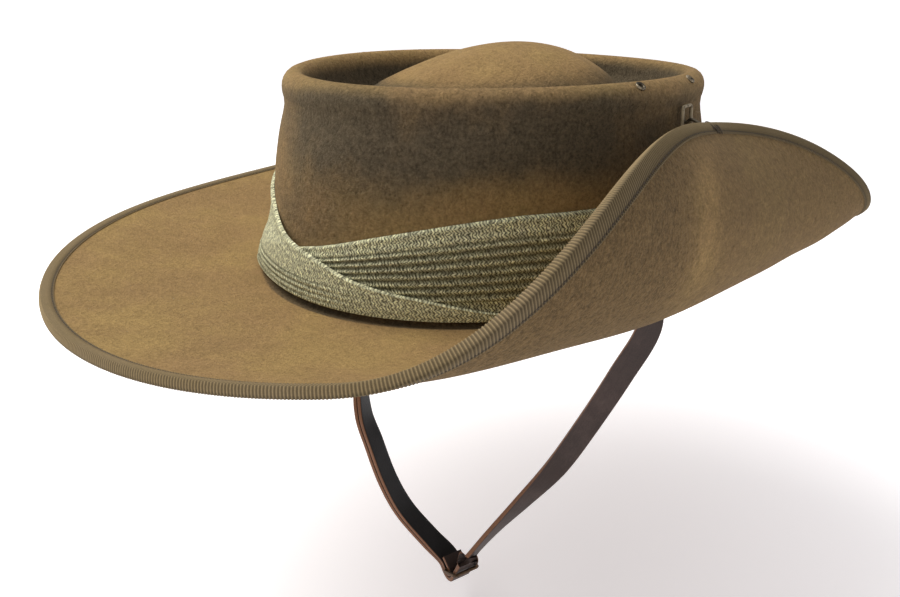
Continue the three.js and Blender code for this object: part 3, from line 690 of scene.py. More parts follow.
@dataclass(frozen=True)
class FeltFinish:
    """Brushed fur felt: mottled, with a short nap, rubbed on its folds, and darkened on the wall by dirt
    and painted shade.
    """

    tan: Colour = (0.370, 0.246, 0.094, 1.0)
    rose: Colour = (0.345, 0.215, 0.097, 1.0)
    brown: Colour = (0.255, 0.165, 0.065, 1.0)
    # The dark of dirt and painted shade, for the wall, the trench and the crown's foot.
    soil_and_shade: Colour = (0.062, 0.052, 0.037, 1.0)
    rubbed: Colour = (0.400, 0.290, 0.135, 1.0)
    # The underside is painted darker, partly as shade on the turned-up side and partly as less faded felt.
    underside: Colour = (0.104, 0.066, 0.030, 1.0)
    lining: Colour = (0.105, 0.075, 0.045, 1.0)
    lint: Colour = (0.62, 0.56, 0.44, 1.0)

    def material(self) -> Material:
        """Makes the material: slow patches, coarse and fine grain, dirt and painted shade, rubbed folds
        and lint.
        """
        sheet = NodeSheet("felt")
        where = sheet.place()
        cloud = sheet.noise(where, 21.0, 4.0, 0.6)
        blotch = sheet.noise(where, 80.0, 4.0, 0.65)
        coarse = sheet.noise(where, 430.0, 3.0, 0.7)
        fibre = sheet.noise(where, 1050.0, 2.0, 0.7)
        # The wall mask is dirt and painted shade: the wall's darkness, shade in the trench and round the
        # dome, and a contact shadow at the crown's foot.
        soil_and_shade_mask = sheet.mask("wall")
        base = sheet.mix(cloud.between(0.36, 0.64), self.rose, self.tan)
        mottle = (cloud - 0.5) * 0.6 + (blotch - 0.5) * 0.8 + 0.62
        base = sheet.mix(mottle.between(0.0, 1.0), self.brown, base)
        smudged_soil_and_shade = soil_and_shade_mask + (cloud - 0.5) * soil_and_shade_mask * 1.5 + (blotch - 0.5) * soil_and_shade_mask * 0.6
        base = sheet.mix(smudged_soil_and_shade.between(0.0, 1.0) * 0.92, base, self.soil_and_shade)
        rubbed = sheet.mask("rub") + (blotch - 0.5) * 0.5 * sheet.mask("rub")
        base = sheet.mix(rubbed.between(0.05, 1.0) * 0.75, base, self.rubbed)
        base = sheet.mix(sheet.mask("lining"), base, self.lining)
        # The brim's underside is painted darker, partly as shade and partly as less faded felt, with
        # painted shade towards the crown and a painted highlight streak.
        base = sheet.mix(sheet.mask("under") * 0.76, base, self.underside)
        grain = (coarse - 0.5) * 0.8 + (fibre - 0.5) * 0.9
        rough = soil_and_shade_mask * 0.95 + sheet.mask("under") * 0.7 + 1.0
        base = sheet.shade(base, grain * rough + 1.0)
        dots = sheet.cells(where, 42.0)
        lint = (0.030 - dots).between(0.0, 0.012) * sheet.mask("lint")
        base = sheet.mix(lint, base, self.lint)
        nap = sheet.noise(sheet.place((1.0, 1.0, 0.45)), 1500.0, 2.0, 0.7)
        height = nap * 0.5 + fibre * 0.8 + coarse * 0.8 + blotch * 0.5
        return sheet.close(
            Base_Color=base,
            Roughness=0.95,
            Specular_IOR_Level=0.12,
            Sheen_Weight=0.12,
            Sheen_Roughness=0.6,
            Sheen_Tint=(0.75, 0.58, 0.34, 1.0),
            Normal=sheet.bump(height, 0.75, 0.9),
        )


@dataclass(frozen=True)
class Ripple:
    """A slow ripple of the felt: its waves round the hat and down it, its start and its share."""

    around: float
    down: float
    start: float
    share: float


def rows_in(labels: Array, *regions: Region) -> Array:
    """Which of the labelled rows lie in one of the regions, as a column."""
    return np.isin(labels, [region.name for region in regions])[:, None]


@dataclass(frozen=True)
class Felt:
    """The one-piece felt of crown and brim."""

    shape: HatShape
    finish: FeltFinish = FeltFinish()
    columns: int = 340
    crowding: float = 0.25
    wall_rows: int = 5
    vent_bore: float = 1.55
    vent_reach: float = 4.0
    soil_shade_turn: float = -47.0
    soil_shade_aim: tuple[float, float] = (0.35, 0.95)
    soil_shade_behind: float = 0.45
    soil_shade_height: float = 63.5
    soil_shade_spread: float = 20.5
    wall_soil_shade: float = 0.26
    front_soil_shade: float = 0.76
    foot_shadow: float = 0.5
    trench_shade: float = 0.95
    roll_soil: float = 0.1
    patches: tuple[Patch, ...] = (
        Patch(-92.0, 20.0, 31.0, 12.0, 0.44),
        Patch(-64.0, 16.0, 60.0, 10.0, 0.18),
        Patch(-34.0, 22.0, 47.0, 10.0, -0.34),
    )
    rubbed_facing: tuple[float, float] = (0.6, 0.95)
    rubbed_roll: float = 0.1
    rubbed_under: float = 0.05
    outer_reach: tuple[float, float] = (0.90, 0.97)
    rim_reach: tuple[float, float] = (0.42, 0.6)
    roll_fade: tuple[float, float] = (73.0, 81.5)
    trench_fade: tuple[float, float] = (73.0, 82.0)
    dents: float = 0.35
    ripples: tuple[Ripple, ...] = (
        Ripple(3, 9, 0.0, 1.0),
        Ripple(7, -17, 1.0, 0.7),
        Ripple(11, 31, 2.2, 0.5),
    )
    dented_wall: tuple[float, float, float, float] = (43.0, 52.0, 66.0, 74.0)
    dented_dome: tuple[float, float] = (0.2, 0.7)
    dented_brim: tuple[float, float, float, float] = (0.15, 0.4, 0.78, 0.9)
    streak_rise: tuple[float, float, float, float] = (18.0, 34.0, 56.0, 66.0)
    streak_side: tuple[float, float] = (0.7, 0.9)
    streak_light: float = 0.45
    shaded_under: tuple[float, float] = (38.0, 56.0)
    shade_under: float = 0.25
    streak_across: float = 57.5
    streak_width: float = 5.5
    streak_bearing: float = 48.24

    def rows(self, turns: Array) -> tuple[Array, Array]:
        """The felt's middle on a grid, as one smooth line from the dome's top to the brim's edge.

        Args:
            turns: The grid's columns.

        Returns:
            The points and, for each row, which region it lies in.
        """
        shape = self.shape
        up = shape.ridge_height
        reaches = np.array([0, 0.04, 0.1, 0.17, 0.25, 0.33, 0.41, 0.49, 0.58])
        knots = [shape.dome_point(turns, reach) for reach in reaches]
        ends = [len(knots) - 1]
        for row in shape.trench:
            x = row.reach * shape.ridge_half_width * np.cos(turns)
            y = row.reach * shape.ridge_half_length * np.sin(turns)
            knots.append(stack(x, y, up - shape.trench_depth * row.down))
        for row in shape.wall:
            knots.append(shape.crown_point(turns, -row.inset * shape.ridge_roll, row.up * up))
        ends += [len(knots) - self.wall_rows, len(knots)]
        for angle in np.radians([90, 60, 30, 0]):
            out = shape.foot_radius * (1 - math.sin(angle))
            lift = shape.foot_radius * (1 - math.cos(angle))
            place = shape.crown_point(turns, 0.0, lift)
            knots.append(place + shape.crown_facing(turns, 0.0) * out)
        ends.append(len(knots))
        shares = np.concatenate([[0.085], np.linspace(0.13, 1, 30)])
        knots += list(shape.brim_point(turns[None], shares[:, None]))
        ends.append(len(knots) - 1)
        knots = np.stack(knots)
        steps = np.linalg.norm(np.diff(knots, axis=0), axis=-1).mean(-1)
        at = np.concatenate([[0], np.cumsum(steps)])
        places, labels, start = [], [], 0
        for region, end in zip(Region, ends):
            last = region is Region.BRIM
            places.append(np.linspace(at[start], at[end], region.value, endpoint=last))
            labels += [region] * region.value
            start = end
        return spline(at, knots, np.concatenate(places)), np.array([label.name for label in labels])

    def unevenness(self, points: Array, turns: Array, labels: Array) -> Array:
        """Slow dents of soft felt, in millimetres along its facing, none where trim is sewn on."""
        rows = np.linspace(0, 1, len(labels))[:, None]
        waves = sum(
            ripple.share * np.sin(ripple.around * turns + ripple.down * rows + ripple.start)
            for ripple in self.ripples
        )
        wall = rows_in(labels, Region.WALL) * hump(points[..., 2], *self.dented_wall)
        from_pole = np.arange(len(labels))[:, None] / Region.DOME.value
        dome = rows_in(labels, Region.DOME) * smoothstep(from_pole, *self.dented_dome)
        reach = np.cumsum(rows_in(labels, Region.BRIM), axis=0) / Region.BRIM.value
        brim = hump(reach, *self.dented_brim)
        return waves * (wall + dome + brim) * self.dents

    def build(self) -> Piece:
        """Makes the felt: the middle surface shifted both ways along its facing and closed."""
        even = np.arange(self.columns) * 2 * np.pi / self.columns
        turns = even - self.crowding * np.sin(even)
        middle, labels = self.rows(turns)
        round_way = np.roll(middle, -1, axis=1) - np.roll(middle, 1, axis=1)
        facing = unit(np.cross(np.gradient(middle, axis=0), round_way))
        facing[0] = [0, 0, 1]
        middle = middle + facing * self.unevenness(middle, turns, labels)[..., None]
        half = self.shape.thickness / 2
        points = np.concatenate([middle + facing * half, (middle - facing * half)[::-1]])
        masks = self.masks(middle, facing, turns, labels)
        felt = Surface(points, poles=True, masks=masks).build("felt_body_brushed")
        self.pierce(felt)
        felt.data.materials.clear()
        felt.data.materials.append(self.finish.material())
        return felt

    def masks(self, middle: Array, facing: Array, turns: Array, labels: Array) -> dict[str, Array]:
        """Where the felt is darkened by dirt and painted shade, rubbed, inside the crown, open to lint or
        under the brim.

        The wall's dirt and painted shade are darkest high on the wall at the front left and thin out round
        the hat. Painted shade also lies in the trench and round the dome's edge, and a painted contact
        shadow lies at the crown's foot. The underside is painted darker towards the crown as shade, and
        lighter in a painted highlight streak over the turned-up side.
        """
        height = middle[..., 2]
        brim = rows_in(labels, Region.BRIM)
        crown = rows_in(labels, Region.WALL, Region.FOOT)
        roll = rows_in(labels, Region.ROLL)
        outer_roll = roll * smoothstep(self.radius(middle), *self.outer_reach)
        # Dirt and painted shade on the wall, darkest high on the wall at the front left.
        aimed = smoothstep(np.cos(turns - math.radians(self.soil_shade_turn)), *self.soil_shade_aim)[None]
        soil_and_shade = bell(height, self.soil_shade_height, self.soil_shade_spread) * lerp(self.soil_shade_behind, 1, aimed)
        for patch in self.patches:
            near = towards(turns, patch.turn, patch.width)
            soil_and_shade = soil_and_shade + patch.amount * bell(height, patch.height, patch.spread) * near
        # A painted contact shadow at the crown's foot, under the band.
        foot = rows_in(labels, Region.FOOT) * self.foot_shadow
        below_top = crown + outer_roll * (1 - smoothstep(height, *self.roll_fade))
        wall = foot + below_top * (self.wall_soil_shade + self.front_soil_shade * soil_and_shade)
        # Painted shade in the trench and round the dome's edge.
        in_trench = roll * (1 - outer_roll) * (1 - smoothstep(height, *self.trench_fade))
        rim = rows_in(labels, Region.DOME) * smoothstep(self.radius(middle), *self.rim_reach)
        painted_hollow_shade = (in_trench + rim) * self.trench_shade
        # A painted highlight: a light streak down the turned-up side.
        across = middle @ level(self.streak_bearing)
        painted_highlight_streak = brim * bell(across, self.streak_across, self.streak_width)
        painted_highlight_streak = painted_highlight_streak * smoothstep(np.cos(turns), *self.streak_side)
        rise = hump(height, *self.streak_rise)
        # Painted shade on the underside towards the crown.
        inward = 1 - smoothstep(across, *self.shaded_under)
        none = np.zeros_like(height)
        outer = {
            "wall": np.clip(wall + painted_hollow_shade + roll * self.roll_soil, 0, 1),
            "rub": roll * smoothstep(facing[..., 2], *self.rubbed_facing) * self.rubbed_roll,
            "lining": none,
            "lint": none + brim,
            "under": none,
        }
        under = {
            "wall": none,
            # The underside mask: painted darker, more so towards the crown as shade, and lighter in the
            # painted highlight streak.
            "under": brim * (1 + self.shade_under * inward - self.streak_light * painted_highlight_streak * rise),
            "rub": none + brim * self.rubbed_under,
            "lining": none + ~brim,
            "lint": none,
        }
        return {name: np.concatenate([outer[name], under[name][::-1]]) for name in outer}

    def radius(self, points: Array) -> Array:
        """How far points stand from the hat's axis, in shares of the ridge's half sizes."""
        x = points[..., 0] / self.shape.ridge_half_width
        return np.hypot(x, points[..., 1] / self.shape.ridge_half_length)

    def pierce(self, felt: Piece) -> None:
        """Bores the vents' holes through the roll."""
        cutters = []
        for turn in Vents.TURNS.values():
            place, facing, rise = self.shape.crown_frame(math.radians(turn), Vents.height(self.shape))
            path = place + np.linspace(-self.vent_reach, self.vent_reach, 5)[:, None] * facing
            cutters.append(sweep(path, rise, ring(self.vent_bore, 16)))
        cutter = Surface(np.stack(cutters), cap=True).build("vent_cutter")
        bore = felt.modifiers.new("vents", "BOOLEAN")
        bore.object, bore.operation, bore.solver = cutter, "DIFFERENCE", "EXACT"
        whole = felt.evaluated_get(bpy.context.evaluated_depsgraph_get())
        bored = bpy.data.meshes.new_from_object(whole)
        felt.modifiers.clear()
        felt.data = bored
        bpy.data.objects.remove(cutter)


@dataclass(frozen=True)
class RibbonFinish:
    """Ribbed ribbon: matt, with shade painted between its ribs and along the sewn groove, and its lower
    side painted darker as shade with some dirt.
    """

    crest: Colour = (0.340, 0.250, 0.125, 1.0)
    # The colour of the painted shade between the ribs and in the groove.
    hollow: Colour = (0.050, 0.036, 0.020, 1.0)
    worn: Colour = (0.380, 0.285, 0.165, 1.0)
    thread: Colour = (0.050, 0.036, 0.022, 1.0)

    def material(self) -> Material:
        """Makes the ribbon's material: rib shading, faded patches and a fine weave."""
        sheet = NodeSheet("ribbon")
        where = sheet.place()
        patch = sheet.noise(where, 40.0, 4.0, 0.6)
        fine = sheet.noise(where, 2600.0, 2.0, 0.6)
        base = sheet.mix(patch.between(0.35, 0.75) * 0.6, self.crest, self.worn)
        # Painted shade between the ribs and in the sewn groove.
        base = sheet.mix(sheet.mask("hollow"), base, self.hollow)
        base = sheet.shade(base, fine * 0.5 + 0.75)
        # The lower side is painted darker, as shade with some dirt.
        base = sheet.shade(base, 1 - sheet.mask("below") * 0.4)
        return sheet.close(
            Base_Color=base,
            Roughness=0.8,
            Specular_IOR_Level=0.2,
            Sheen_Weight=0.05,
            Sheen_Tint=(0.8, 0.65, 0.4, 1.0),
            Normal=sheet.bump(fine, 0.15, 0.6),
        )

    def thread_material(self) -> Material:
        """Makes the sewing thread's material."""
        sheet = NodeSheet("thread")
        twist = sheet.noise(sheet.place(), 3500.0, 1.0, 0.5)
        base = sheet.shade(sheet.mix(twist, self.thread, self.hollow), twist * 0.6 + 0.7)
        return sheet.close(Base_Color=base, Roughness=0.7, Normal=sheet.bump(twist, 0.1, 0.5))


@dataclass(frozen=True)
class Binding:
    """The ribbon folded over the brim's edge and sewn down on both sides."""

    shape: HatShape
    finish: RibbonFinish = RibbonFinish()
    cover: float = 3.8
    thickness: float = 0.48
    gap: float = 0.08
    rib_pitch: float = 0.98
    rib_relief: float = 0.16
    rib_columns: int = 3
    groove_depth: float = 0.3
    groove_width: float = 0.34
    groove_in: float = 0.7
    groove_calm: float = 0.6
    groove_shade: float = 0.6
    rib_shade: float = 0.95
    edge_bevel: float = 0.45
    underside: float = -1.0
    edge_steps: int = 4001
    stitch_pitch: float = 2.3
    stitch_length: float = 1.5
    stitch_radius: float = 0.19
    stitch_lift: float = 0.12
    stitch_dip: float = 1.6

    @property
    def outside(self) -> float:
        """Height of the ribbon's face above the middle of the felt."""
        return self.shape.thickness / 2 + self.gap + self.thickness

    def edge(self) -> tuple[Array, Array]:
        """Turns close together round the brim's edge, and the distance along it at each."""
        turns = np.linspace(0, 2 * np.pi, self.edge_steps)
        return turns, lengths_along(self.shape.brim_point(turns, np.ones_like(turns)))

    def on_ribbon(self, turns: Array, depth: Array, height: Array) -> Array:
        """Points at a depth in from the brim's edge, or beyond it, and a height above the felt."""
        share = 1 - np.maximum(depth, 0) / self.shape.brim_width
        place, outward, facing = self.shape.brim_frame(turns, share)
        beyond = np.broadcast_to(np.maximum(-depth, 0), place.shape[:-1])
        height = np.broadcast_to(height, place.shape[:-1])
        return place + outward * beyond[..., None] + facing * height[..., None]

    def section(self) -> tuple[Array, Array, Array, Array]:
        """The ribbon's closed section.

        Returns:
            For each point its depth, its height, whether it is on the outer face, and the groove.
        """
        flat = self.cover - np.array([0.0, 0.25, 0.5, 0.75, 1.1, 2.2, 4.0])
        nose = np.radians([55, 20, -20, -55])
        depth = np.concatenate([flat, -(self.gap + self.thickness) * np.cos(nose), flat[::-1]])
        side = np.concatenate([np.ones_like(flat), np.sin(nose), -np.ones_like(flat)])
        groove = bell(depth, self.cover - self.groove_in, self.groove_width)
        edge = self.edge_bevel * (depth == self.cover)
        height = side * (self.outside - self.groove_depth * groove - edge)
        inner = np.array([self.cover, self.cover / 2, -self.gap, self.cover / 2, self.cover])
        inner_side = np.array([-1, -1, 0, 1, 1]) * (self.shape.thickness / 2 + self.gap / 2)
        none = np.zeros_like(inner)
        outer = np.concatenate([np.ones_like(depth), none])
        depth, height = np.concatenate([depth, inner]), np.concatenate([height, inner_side])
        return depth, height, outer, np.concatenate([groove, none])

    def build(self) -> list[Piece]:
        """Makes the ribbon and its stitches."""
        turns, run = self.edge()
        ribs = round(run[-1] / self.rib_pitch)
        count = ribs * self.rib_columns
        at = np.interp(np.arange(count) / count * run[-1], run, turns)
        depth, height, outer, groove = self.section()
        crest = np.cos(2 * np.pi * np.arange(count) / self.rib_columns)[:, None]
        middle = self.on_ribbon(at[:, None], depth[None], height[None])
        step, growth = 0.1, 1.05
        grown = self.on_ribbon(at[:, None], depth[None] - step * (depth < 0), height[None] * growth)
        away = unit(grown - middle + 1e-9)
        relief = self.rib_relief * crest * outer * (1 - self.groove_calm * groove)
        # Painted shade between the ribs and in the groove.
        hollow = (0.5 - 0.5 * crest) * self.rib_shade * outer + self.groove_shade * groove
        # The lower side is painted darker, as shade with some dirt.
        masks = {"hollow": np.clip(hollow, 0, 1), "below": height < self.underside}
        ribbon = Surface(middle + away * relief[..., None], wrap_rows=True, masks=masks)
        return [ribbon.build("brim_ribbon", self.finish.material()), self.stitches(turns, run)]

    def stitches(self, turns: Array, run: Array) -> Piece:
        """Makes the rows of stitches in both grooves, each a short thread that dips at its ends."""
        count = round(run[-1] / self.stitch_pitch)
        share = np.linspace(-0.5, 0.5, 5)
        at = np.arange(count)[:, None] * run[-1] / count + share * self.stitch_length
        at = np.interp(np.mod(at, run[-1]), run, turns)
        lift = self.outside - self.groove_depth + self.stitch_lift - self.stitch_dip * share**2
        rows = [self.on_ribbon(at, self.cover - self.groove_in, side * lift) for side in (1, -1)]
        path = np.concatenate(rows)
        thread = sweep(path, np.array([0.3, 0.2, 1.0]), ring(self.stitch_radius, 6))
        return Surface(thread, cap=True).build("brim_stitches", self.finish.thread_material())


@dataclass(frozen=True)
class EdgeHeight:
    """The height of a band layer's upper edge at a turn, in shares of the band's height."""

    turn: float
    up: float


@dataclass(frozen=True)
class WeaveFinish:
    """Coarse woven cloth: rows of slanted yarns whose slant turns from row to row."""

    yarn: Colour = (0.720, 0.700, 0.470, 1.0)
    # The colour of the painted shade between the yarns, in the pleats and in the creases.
    deep: Colour = (0.092, 0.094, 0.056, 1.0)
    faded: Colour = (0.840, 0.820, 0.520, 1.0)
    # Pale tone for the painted light on the plain wrap and the painted highlight along the hem.
    pale: Colour = (0.860, 0.850, 0.560, 1.0)
    stitch: float = 1.2
    row: float = 1.0
    row_shift: float = 0.31
    slant: float = 0.6

    def material(self) -> Material:
        """Makes the cloth's material.

        Each row holds slanted humps, high along a yarn and low between two, and the rows part in a
        narrow hollow. No two yarns are alike: they wander, and some catch much more light. Shade is
        painted between the yarns, into each hollow of the pleats and into the plain wrap's creases, and
        the plain wrap is painted lighter, as light falling on it. A painted highlight runs along the hem.
        """
        sheet = NodeSheet("band_cloth")
        where = sheet.cloth()
        wander = sheet.noise(where, 0.45, 2.0, 0.6) - 0.5
        drift = sheet.noise(sheet.cloth((1.0, 1.3, 1.0)), 0.7, 2.0, 0.6) - 0.5
        along = sheet.axis(where, "X") + wander * 2.2
        up = sheet.axis(where, "Y") * (1 / self.row) + drift * 0.9
        row = up.math("FRACT")
        line = up.math("FLOOR")
        odd = (line * 0.5).math("FRACT") * 4 - 1
        shift = line * self.row_shift
        hump = (along * (1 / self.stitch) + shift + (row - 0.5) * odd * self.slant).wave()
        crown = ((row - 0.5).wave(2.0)).between(0.0, 0.6)
        spread = sheet.noise(where, 0.75, 1.0, 0.5)
        height = hump.between(0.0, 0.62) * crown
        tint = sheet.noise(where, 0.12, 2.0, 0.6)
        fibre = sheet.noise(sheet.place(), 2600.0, 2.0, 0.6)
        base = sheet.mix(tint.between(0.35, 0.7), self.yarn, self.faded)
        # The plain wrap is painted lighter, as light falling on it.
        painted_light = sheet.mask("painted_light")
        base = sheet.mix(painted_light * 0.8, base, self.pale)
        # Painted shade between the yarns, less on the plain wrap.
        base = sheet.mix((1 - height) * (0.95 - painted_light * 0.15), base, self.deep)
        # Painted shade in the pleats and in the plain wrap's creases.
        base = sheet.mix(sheet.mask("hollow") * 0.86, base, self.deep)
        # Painted highlight along the top edge.
        base = sheet.mix(sheet.mask("hem") * 0.3, base, self.pale)
        base = sheet.shade(base, (spread - 0.5) * 2.2 + (fibre - 0.5) * 0.8 + 1.0)
        return sheet.close(
            Base_Color=base,
            Roughness=0.9,
            Specular_IOR_Level=0.1,
            Normal=sheet.bump(height + fibre * 0.3, 0.6, 0.9),
        )


@dataclass(frozen=True)
class Band:
    """The cloth band: two wraps that cross at the front, the lower one pleated."""

    shape: HatShape
    finish: WeaveFinish = WeaveFinish()
    gap: float = 0.3
    cloth: float = 1.3
    bulge: float = 0.25
    pleat_rise: float = 0.7
    fullness: float = 1.3
    height: float = 36.5
    foot: float = 3.6
    hem: float = 0.18
    hem_depth: tuple[float, float] = (0.3, 0.7)
    under_hem: tuple[float, float] = (0.965, 0.03)
    over_hem: tuple[float, float] = (0.95, 0.04)
    pleat_ridge: tuple[float, float] = (0.55, 0.28)
    pleat_shade: float = 0.9
    lip_above: float = 0.03
    lip_width: float = 0.035
    lip_rise: float = 0.8
    edge_round: float = 0.55
    columns: int = 520
    inner_rows: int = 5
    pleat_rows: int = 7
    pleats: int = 7
    pleats_top: float = 0.81
    pleats_foot: float = 0.18
    climb: tuple[float, float] = (-134.0, -120.0)
    under_span: tuple[float, float] = (-116.0, 89.9)
    over_span: tuple[float, float] = (-269.9, -38.0)
    edge_blend: float = 5.0
    bend_clear: float = 0.05
    bend_range: tuple[float, float] = (0.25, 0.75)
    lean_from: float = 0.02
    lean_full: float = 0.5
    lean_reach: float = 0.7
    flare: float = 4.6
    flare_turn: float = -125.0
    flare_spread: float = 16.0
    flare_reach: float = 0.45
    fold_pitch: float = 2.1
    fold_rise: float = 0.42
    folds: int = 4
    fold_fade: tuple[float, float] = (-98.0, -56.0)
    crease_width: float = 0.2
    under_top: tuple[EdgeHeight, ...] = (
        EdgeHeight(-116, 0.2),
        EdgeHeight(-100, 0.37),
        EdgeHeight(-89, 0.5),
        EdgeHeight(-81, 0.575),
        EdgeHeight(-74, 0.66),
        EdgeHeight(-67, 0.745),
        EdgeHeight(-60, 0.82),
        EdgeHeight(-52, 0.895),
        EdgeHeight(-44, 0.955),
        EdgeHeight(-35, 1.0),
        EdgeHeight(90, 1.0),
    )
    over_top: tuple[EdgeHeight, ...] = (
        EdgeHeight(-270, 1.0),
        EdgeHeight(-130, 1.0),
        EdgeHeight(-116, 0.9),
        EdgeHeight(-108, 0.75),
        EdgeHeight(-101, 0.665),
        EdgeHeight(-95, 0.59),
        EdgeHeight(-88, 0.525),
        EdgeHeight(-82, 0.47),
        EdgeHeight(-78, 0.42),
        EdgeHeight(-73, 0.35),
        EdgeHeight(-68, 0.3),
        EdgeHeight(-62, 0.255),
        EdgeHeight(-54, 0.21),
        EdgeHeight(-46, 0.135),
        EdgeHeight(-38, 0.06),
    )

    def top_at(self, table: Sequence[EdgeHeight], degrees: Array) -> Array:
        """A layer's upper edge above the band's foot: the table's rows, with their corners eased."""
        turns, ups = [row.turn for row in table], [row.up for row in table]
        shifts = np.linspace(-self.edge_blend, self.edge_blend, 9)
        weights = np.cos(shifts / self.edge_blend * np.pi / 2) + 0.05
        read = sum(w * np.interp(degrees + d, turns, ups) for d, w in zip(shifts, weights))
        return self.height * read / weights.sum()

    def over_inner(self, degrees: Array, share: Array) -> Array:
        """How far the plain wrap's inner face stands out of the wall's oval.

        It climbs over the pleated wrap, leans back to the felt above it, and flares at its foot
        where the front meets the wearer's right.
        """
        own = self.top_at(self.over_top, degrees) / self.height
        covered = self.top_at(self.under_top, degrees) / self.height
        bend = np.clip((covered + self.bend_clear) / own, *self.bend_range)
        free = smoothstep(own - covered, self.lean_from, self.lean_full)
        lean = smoothstep((share - bend) / (1 - bend), 0, self.lean_reach) * free
        inside = self.shape.thickness / 2 + self.gap
        lifted = inside + self.cloth + self.bulge + self.pleat_rise + self.gap
        foot = np.maximum(1 - share * own / self.flare_reach, 0)
        flare = self.flare * foot * bell(degrees, self.flare_turn, self.flare_spread)
        return lerp(inside, lifted, smoothstep(degrees, *self.climb) * (1 - lean)) + flare

    def swollen(self, share: Array) -> Array:
        """The cloth's thickness, fullest halfway up."""
        return self.cloth + 4 * self.bulge * share * (1 - share)

    def under_profile(self, share: Array) -> tuple[Array, Array]:
        """The pleated wrap's thickness up its height, and how deep in a hollow each place is.

        Every pleat is a rounded ridge, with a wide hollow between it and the next that is painted dark as
        shade.
        """
        fold = (self.pleats_top - share) / (self.pleats_top - self.pleats_foot) * self.pleats
        inside = (fold > 0) & (fold < self.pleats)
        part = fold - np.floor(fold)
        ridge = bell(part, *self.pleat_ridge)
        crest = ridge * inside * self.fullness
        lip = bell(share, self.pleats_top + self.lip_above, self.lip_width) * self.lip_rise
        hollow = (1 - ridge) * self.pleat_shade * inside
        thick = self.swollen(share) + self.pleat_rise * (crest + lip)
        return thick + self.hem * bell(share, *self.under_hem), np.clip(hollow, 0, 1)

    def over_profile(self, share: Array, degrees: Array, top: Array) -> tuple[Array, Array]:
        """The plain wrap's thickness, with small folds like cords low on the wearer's right."""
        fade = 1 - smoothstep(degrees, *self.fold_fade)
        up = share * top / self.fold_pitch
        inside = hump(up, 0.2, 0.6, self.folds, self.folds + 0.4)
        folds = (0.5 - 0.5 * np.cos(2 * np.pi * up)) * inside * fade
        # The creases are painted dark as shade.
        creases = bell(up - np.round(up), 0.0, self.crease_width) * inside * fade
        thick = self.swollen(share) + self.hem * bell(share, *self.over_hem)
        return thick + self.fold_rise * folds, creases

    def layer(self, name: str, cloth: Material, over: bool) -> tuple[Piece, tuple[float, float]]:
        """Makes one wrap: at each column a closed outline of its inner face and its outer face.

        Args:
            name: The piece's name.
            cloth: Its material.
            over: Whether it is the plain wrap, which lies over the pleated one.

        Returns:
            The piece, and the width and length of its cloth laid flat, in metres.
        """
        span = self.over_span if over else self.under_span
        turn = np.radians(np.linspace(*span, self.columns))[:, None]
        degrees = np.degrees(turn)
        top = self.top_at(self.over_top if over else self.under_top, degrees)
        rows = self.pleats * self.pleat_rows
        fine = np.arange(rows)[::-1] / rows
        pleated = lerp(self.pleats_foot, self.pleats_top, fine)
        high = np.array([0.995, 0.98, 0.96, 0.94, 0.915, 0.89, 0.86, 0.84, 0.825])
        low = np.array([0.16, 0.13, 0.1, 0.07, 0.045, 0.03, 0.015])
        share = np.concatenate([high, pleated, low])[None]
        if over:
            thick, hollow = self.over_profile(share, degrees, top)
        else:
            thick, hollow = self.under_profile(share)
        edges = smoothstep(share, 0.975, 1.0) + 1 - smoothstep(share, 0.0, 0.03)
        inner = self.inner_rows
        shares = np.concatenate([np.linspace(0, 1, inner)[None], share], axis=1)
        outs = np.zeros((turn.shape[0], shares.shape[1])) + self.shape.thickness / 2 + self.gap
        if over:
            outs = self.over_inner(degrees, shares)
        outs[:, inner:] += thick - self.edge_round * edges
        heights = self.foot + top * shares
        points = self.shape.crown_point(turn, 0.0, heights)
        points = points + self.shape.crown_facing(turn, heights) * outs[..., None]
        run = lengths_along(self.shape.crown_point(turn[:, 0], 0.0, self.height / 2))
        hem, shade = np.zeros_like(outs), np.zeros_like(outs)
        hem[:, inner:] = 1 - smoothstep(top * (1 - share), *self.hem_depth)
        shade[:, inner:] = hollow
        # Masks: painted shade in each hollow and crease, a painted highlight along the hem, and painted
        # light on the plain wrap.
        masks = {"hollow": shade, "hem": hem, "painted_light": np.array([float(over)])}
        widths = np.linalg.norm(np.diff(points[:, inner:], axis=1), axis=-1).sum(-1)
        wrap = Surface(points, cap=True, uv=flat_map(run[:, None], heights), masks=masks)
        return wrap.build(name, cloth, 60), (float(widths.max()) * MM, float(run[-1]) * MM)

    def build(self) -> list[Piece]:
        """Makes both wraps."""
        cloth = self.finish.material()
        under, under_flat = self.layer("band_pleated_wrap", cloth, False)
        over, over_flat = self.layer("band_plain_wrap", cloth, True)
        return [under, over]


class Metal(Enum):
    """The hat's metals: base colour, roughness and how much of it is tarnished."""

    EYELET = ((0.34, 0.28, 0.19, 1.0), 0.45, 0.42)
    WIRE = ((0.36, 0.30, 0.20, 1.0), 0.5, 0.25)
    HOOK = ((0.10, 0.085, 0.06, 1.0), 0.45, 0.3)
    BRONZE = ((0.115, 0.070, 0.040, 1.0), 0.42, 0.3)

    def material(self) -> Material:
        """Makes the metal: dull patches and fine wear change its colour and roughness."""
        colour, roughness, dull = self.value
        sheet = NodeSheet(self.name.lower() + "_metal")
        where = sheet.place()
        patch = sheet.noise(where, 420.0, 4.0, 0.6)
        fine = sheet.noise(where, 2600.0, 2.0, 0.6)
        tarnish = tuple(0.14 * part for part in colour[:3]) + (1.0,)
        base = sheet.mix(patch.between(0.78 - dull, 1.0 - dull), colour, tarnish)
        return sheet.close(
            Base_Color=base,
            Metallic=0.7,
            Roughness=patch * 0.3 + (roughness - 0.1),
            Normal=sheet.bump(fine, 0.08, 0.6),
        )


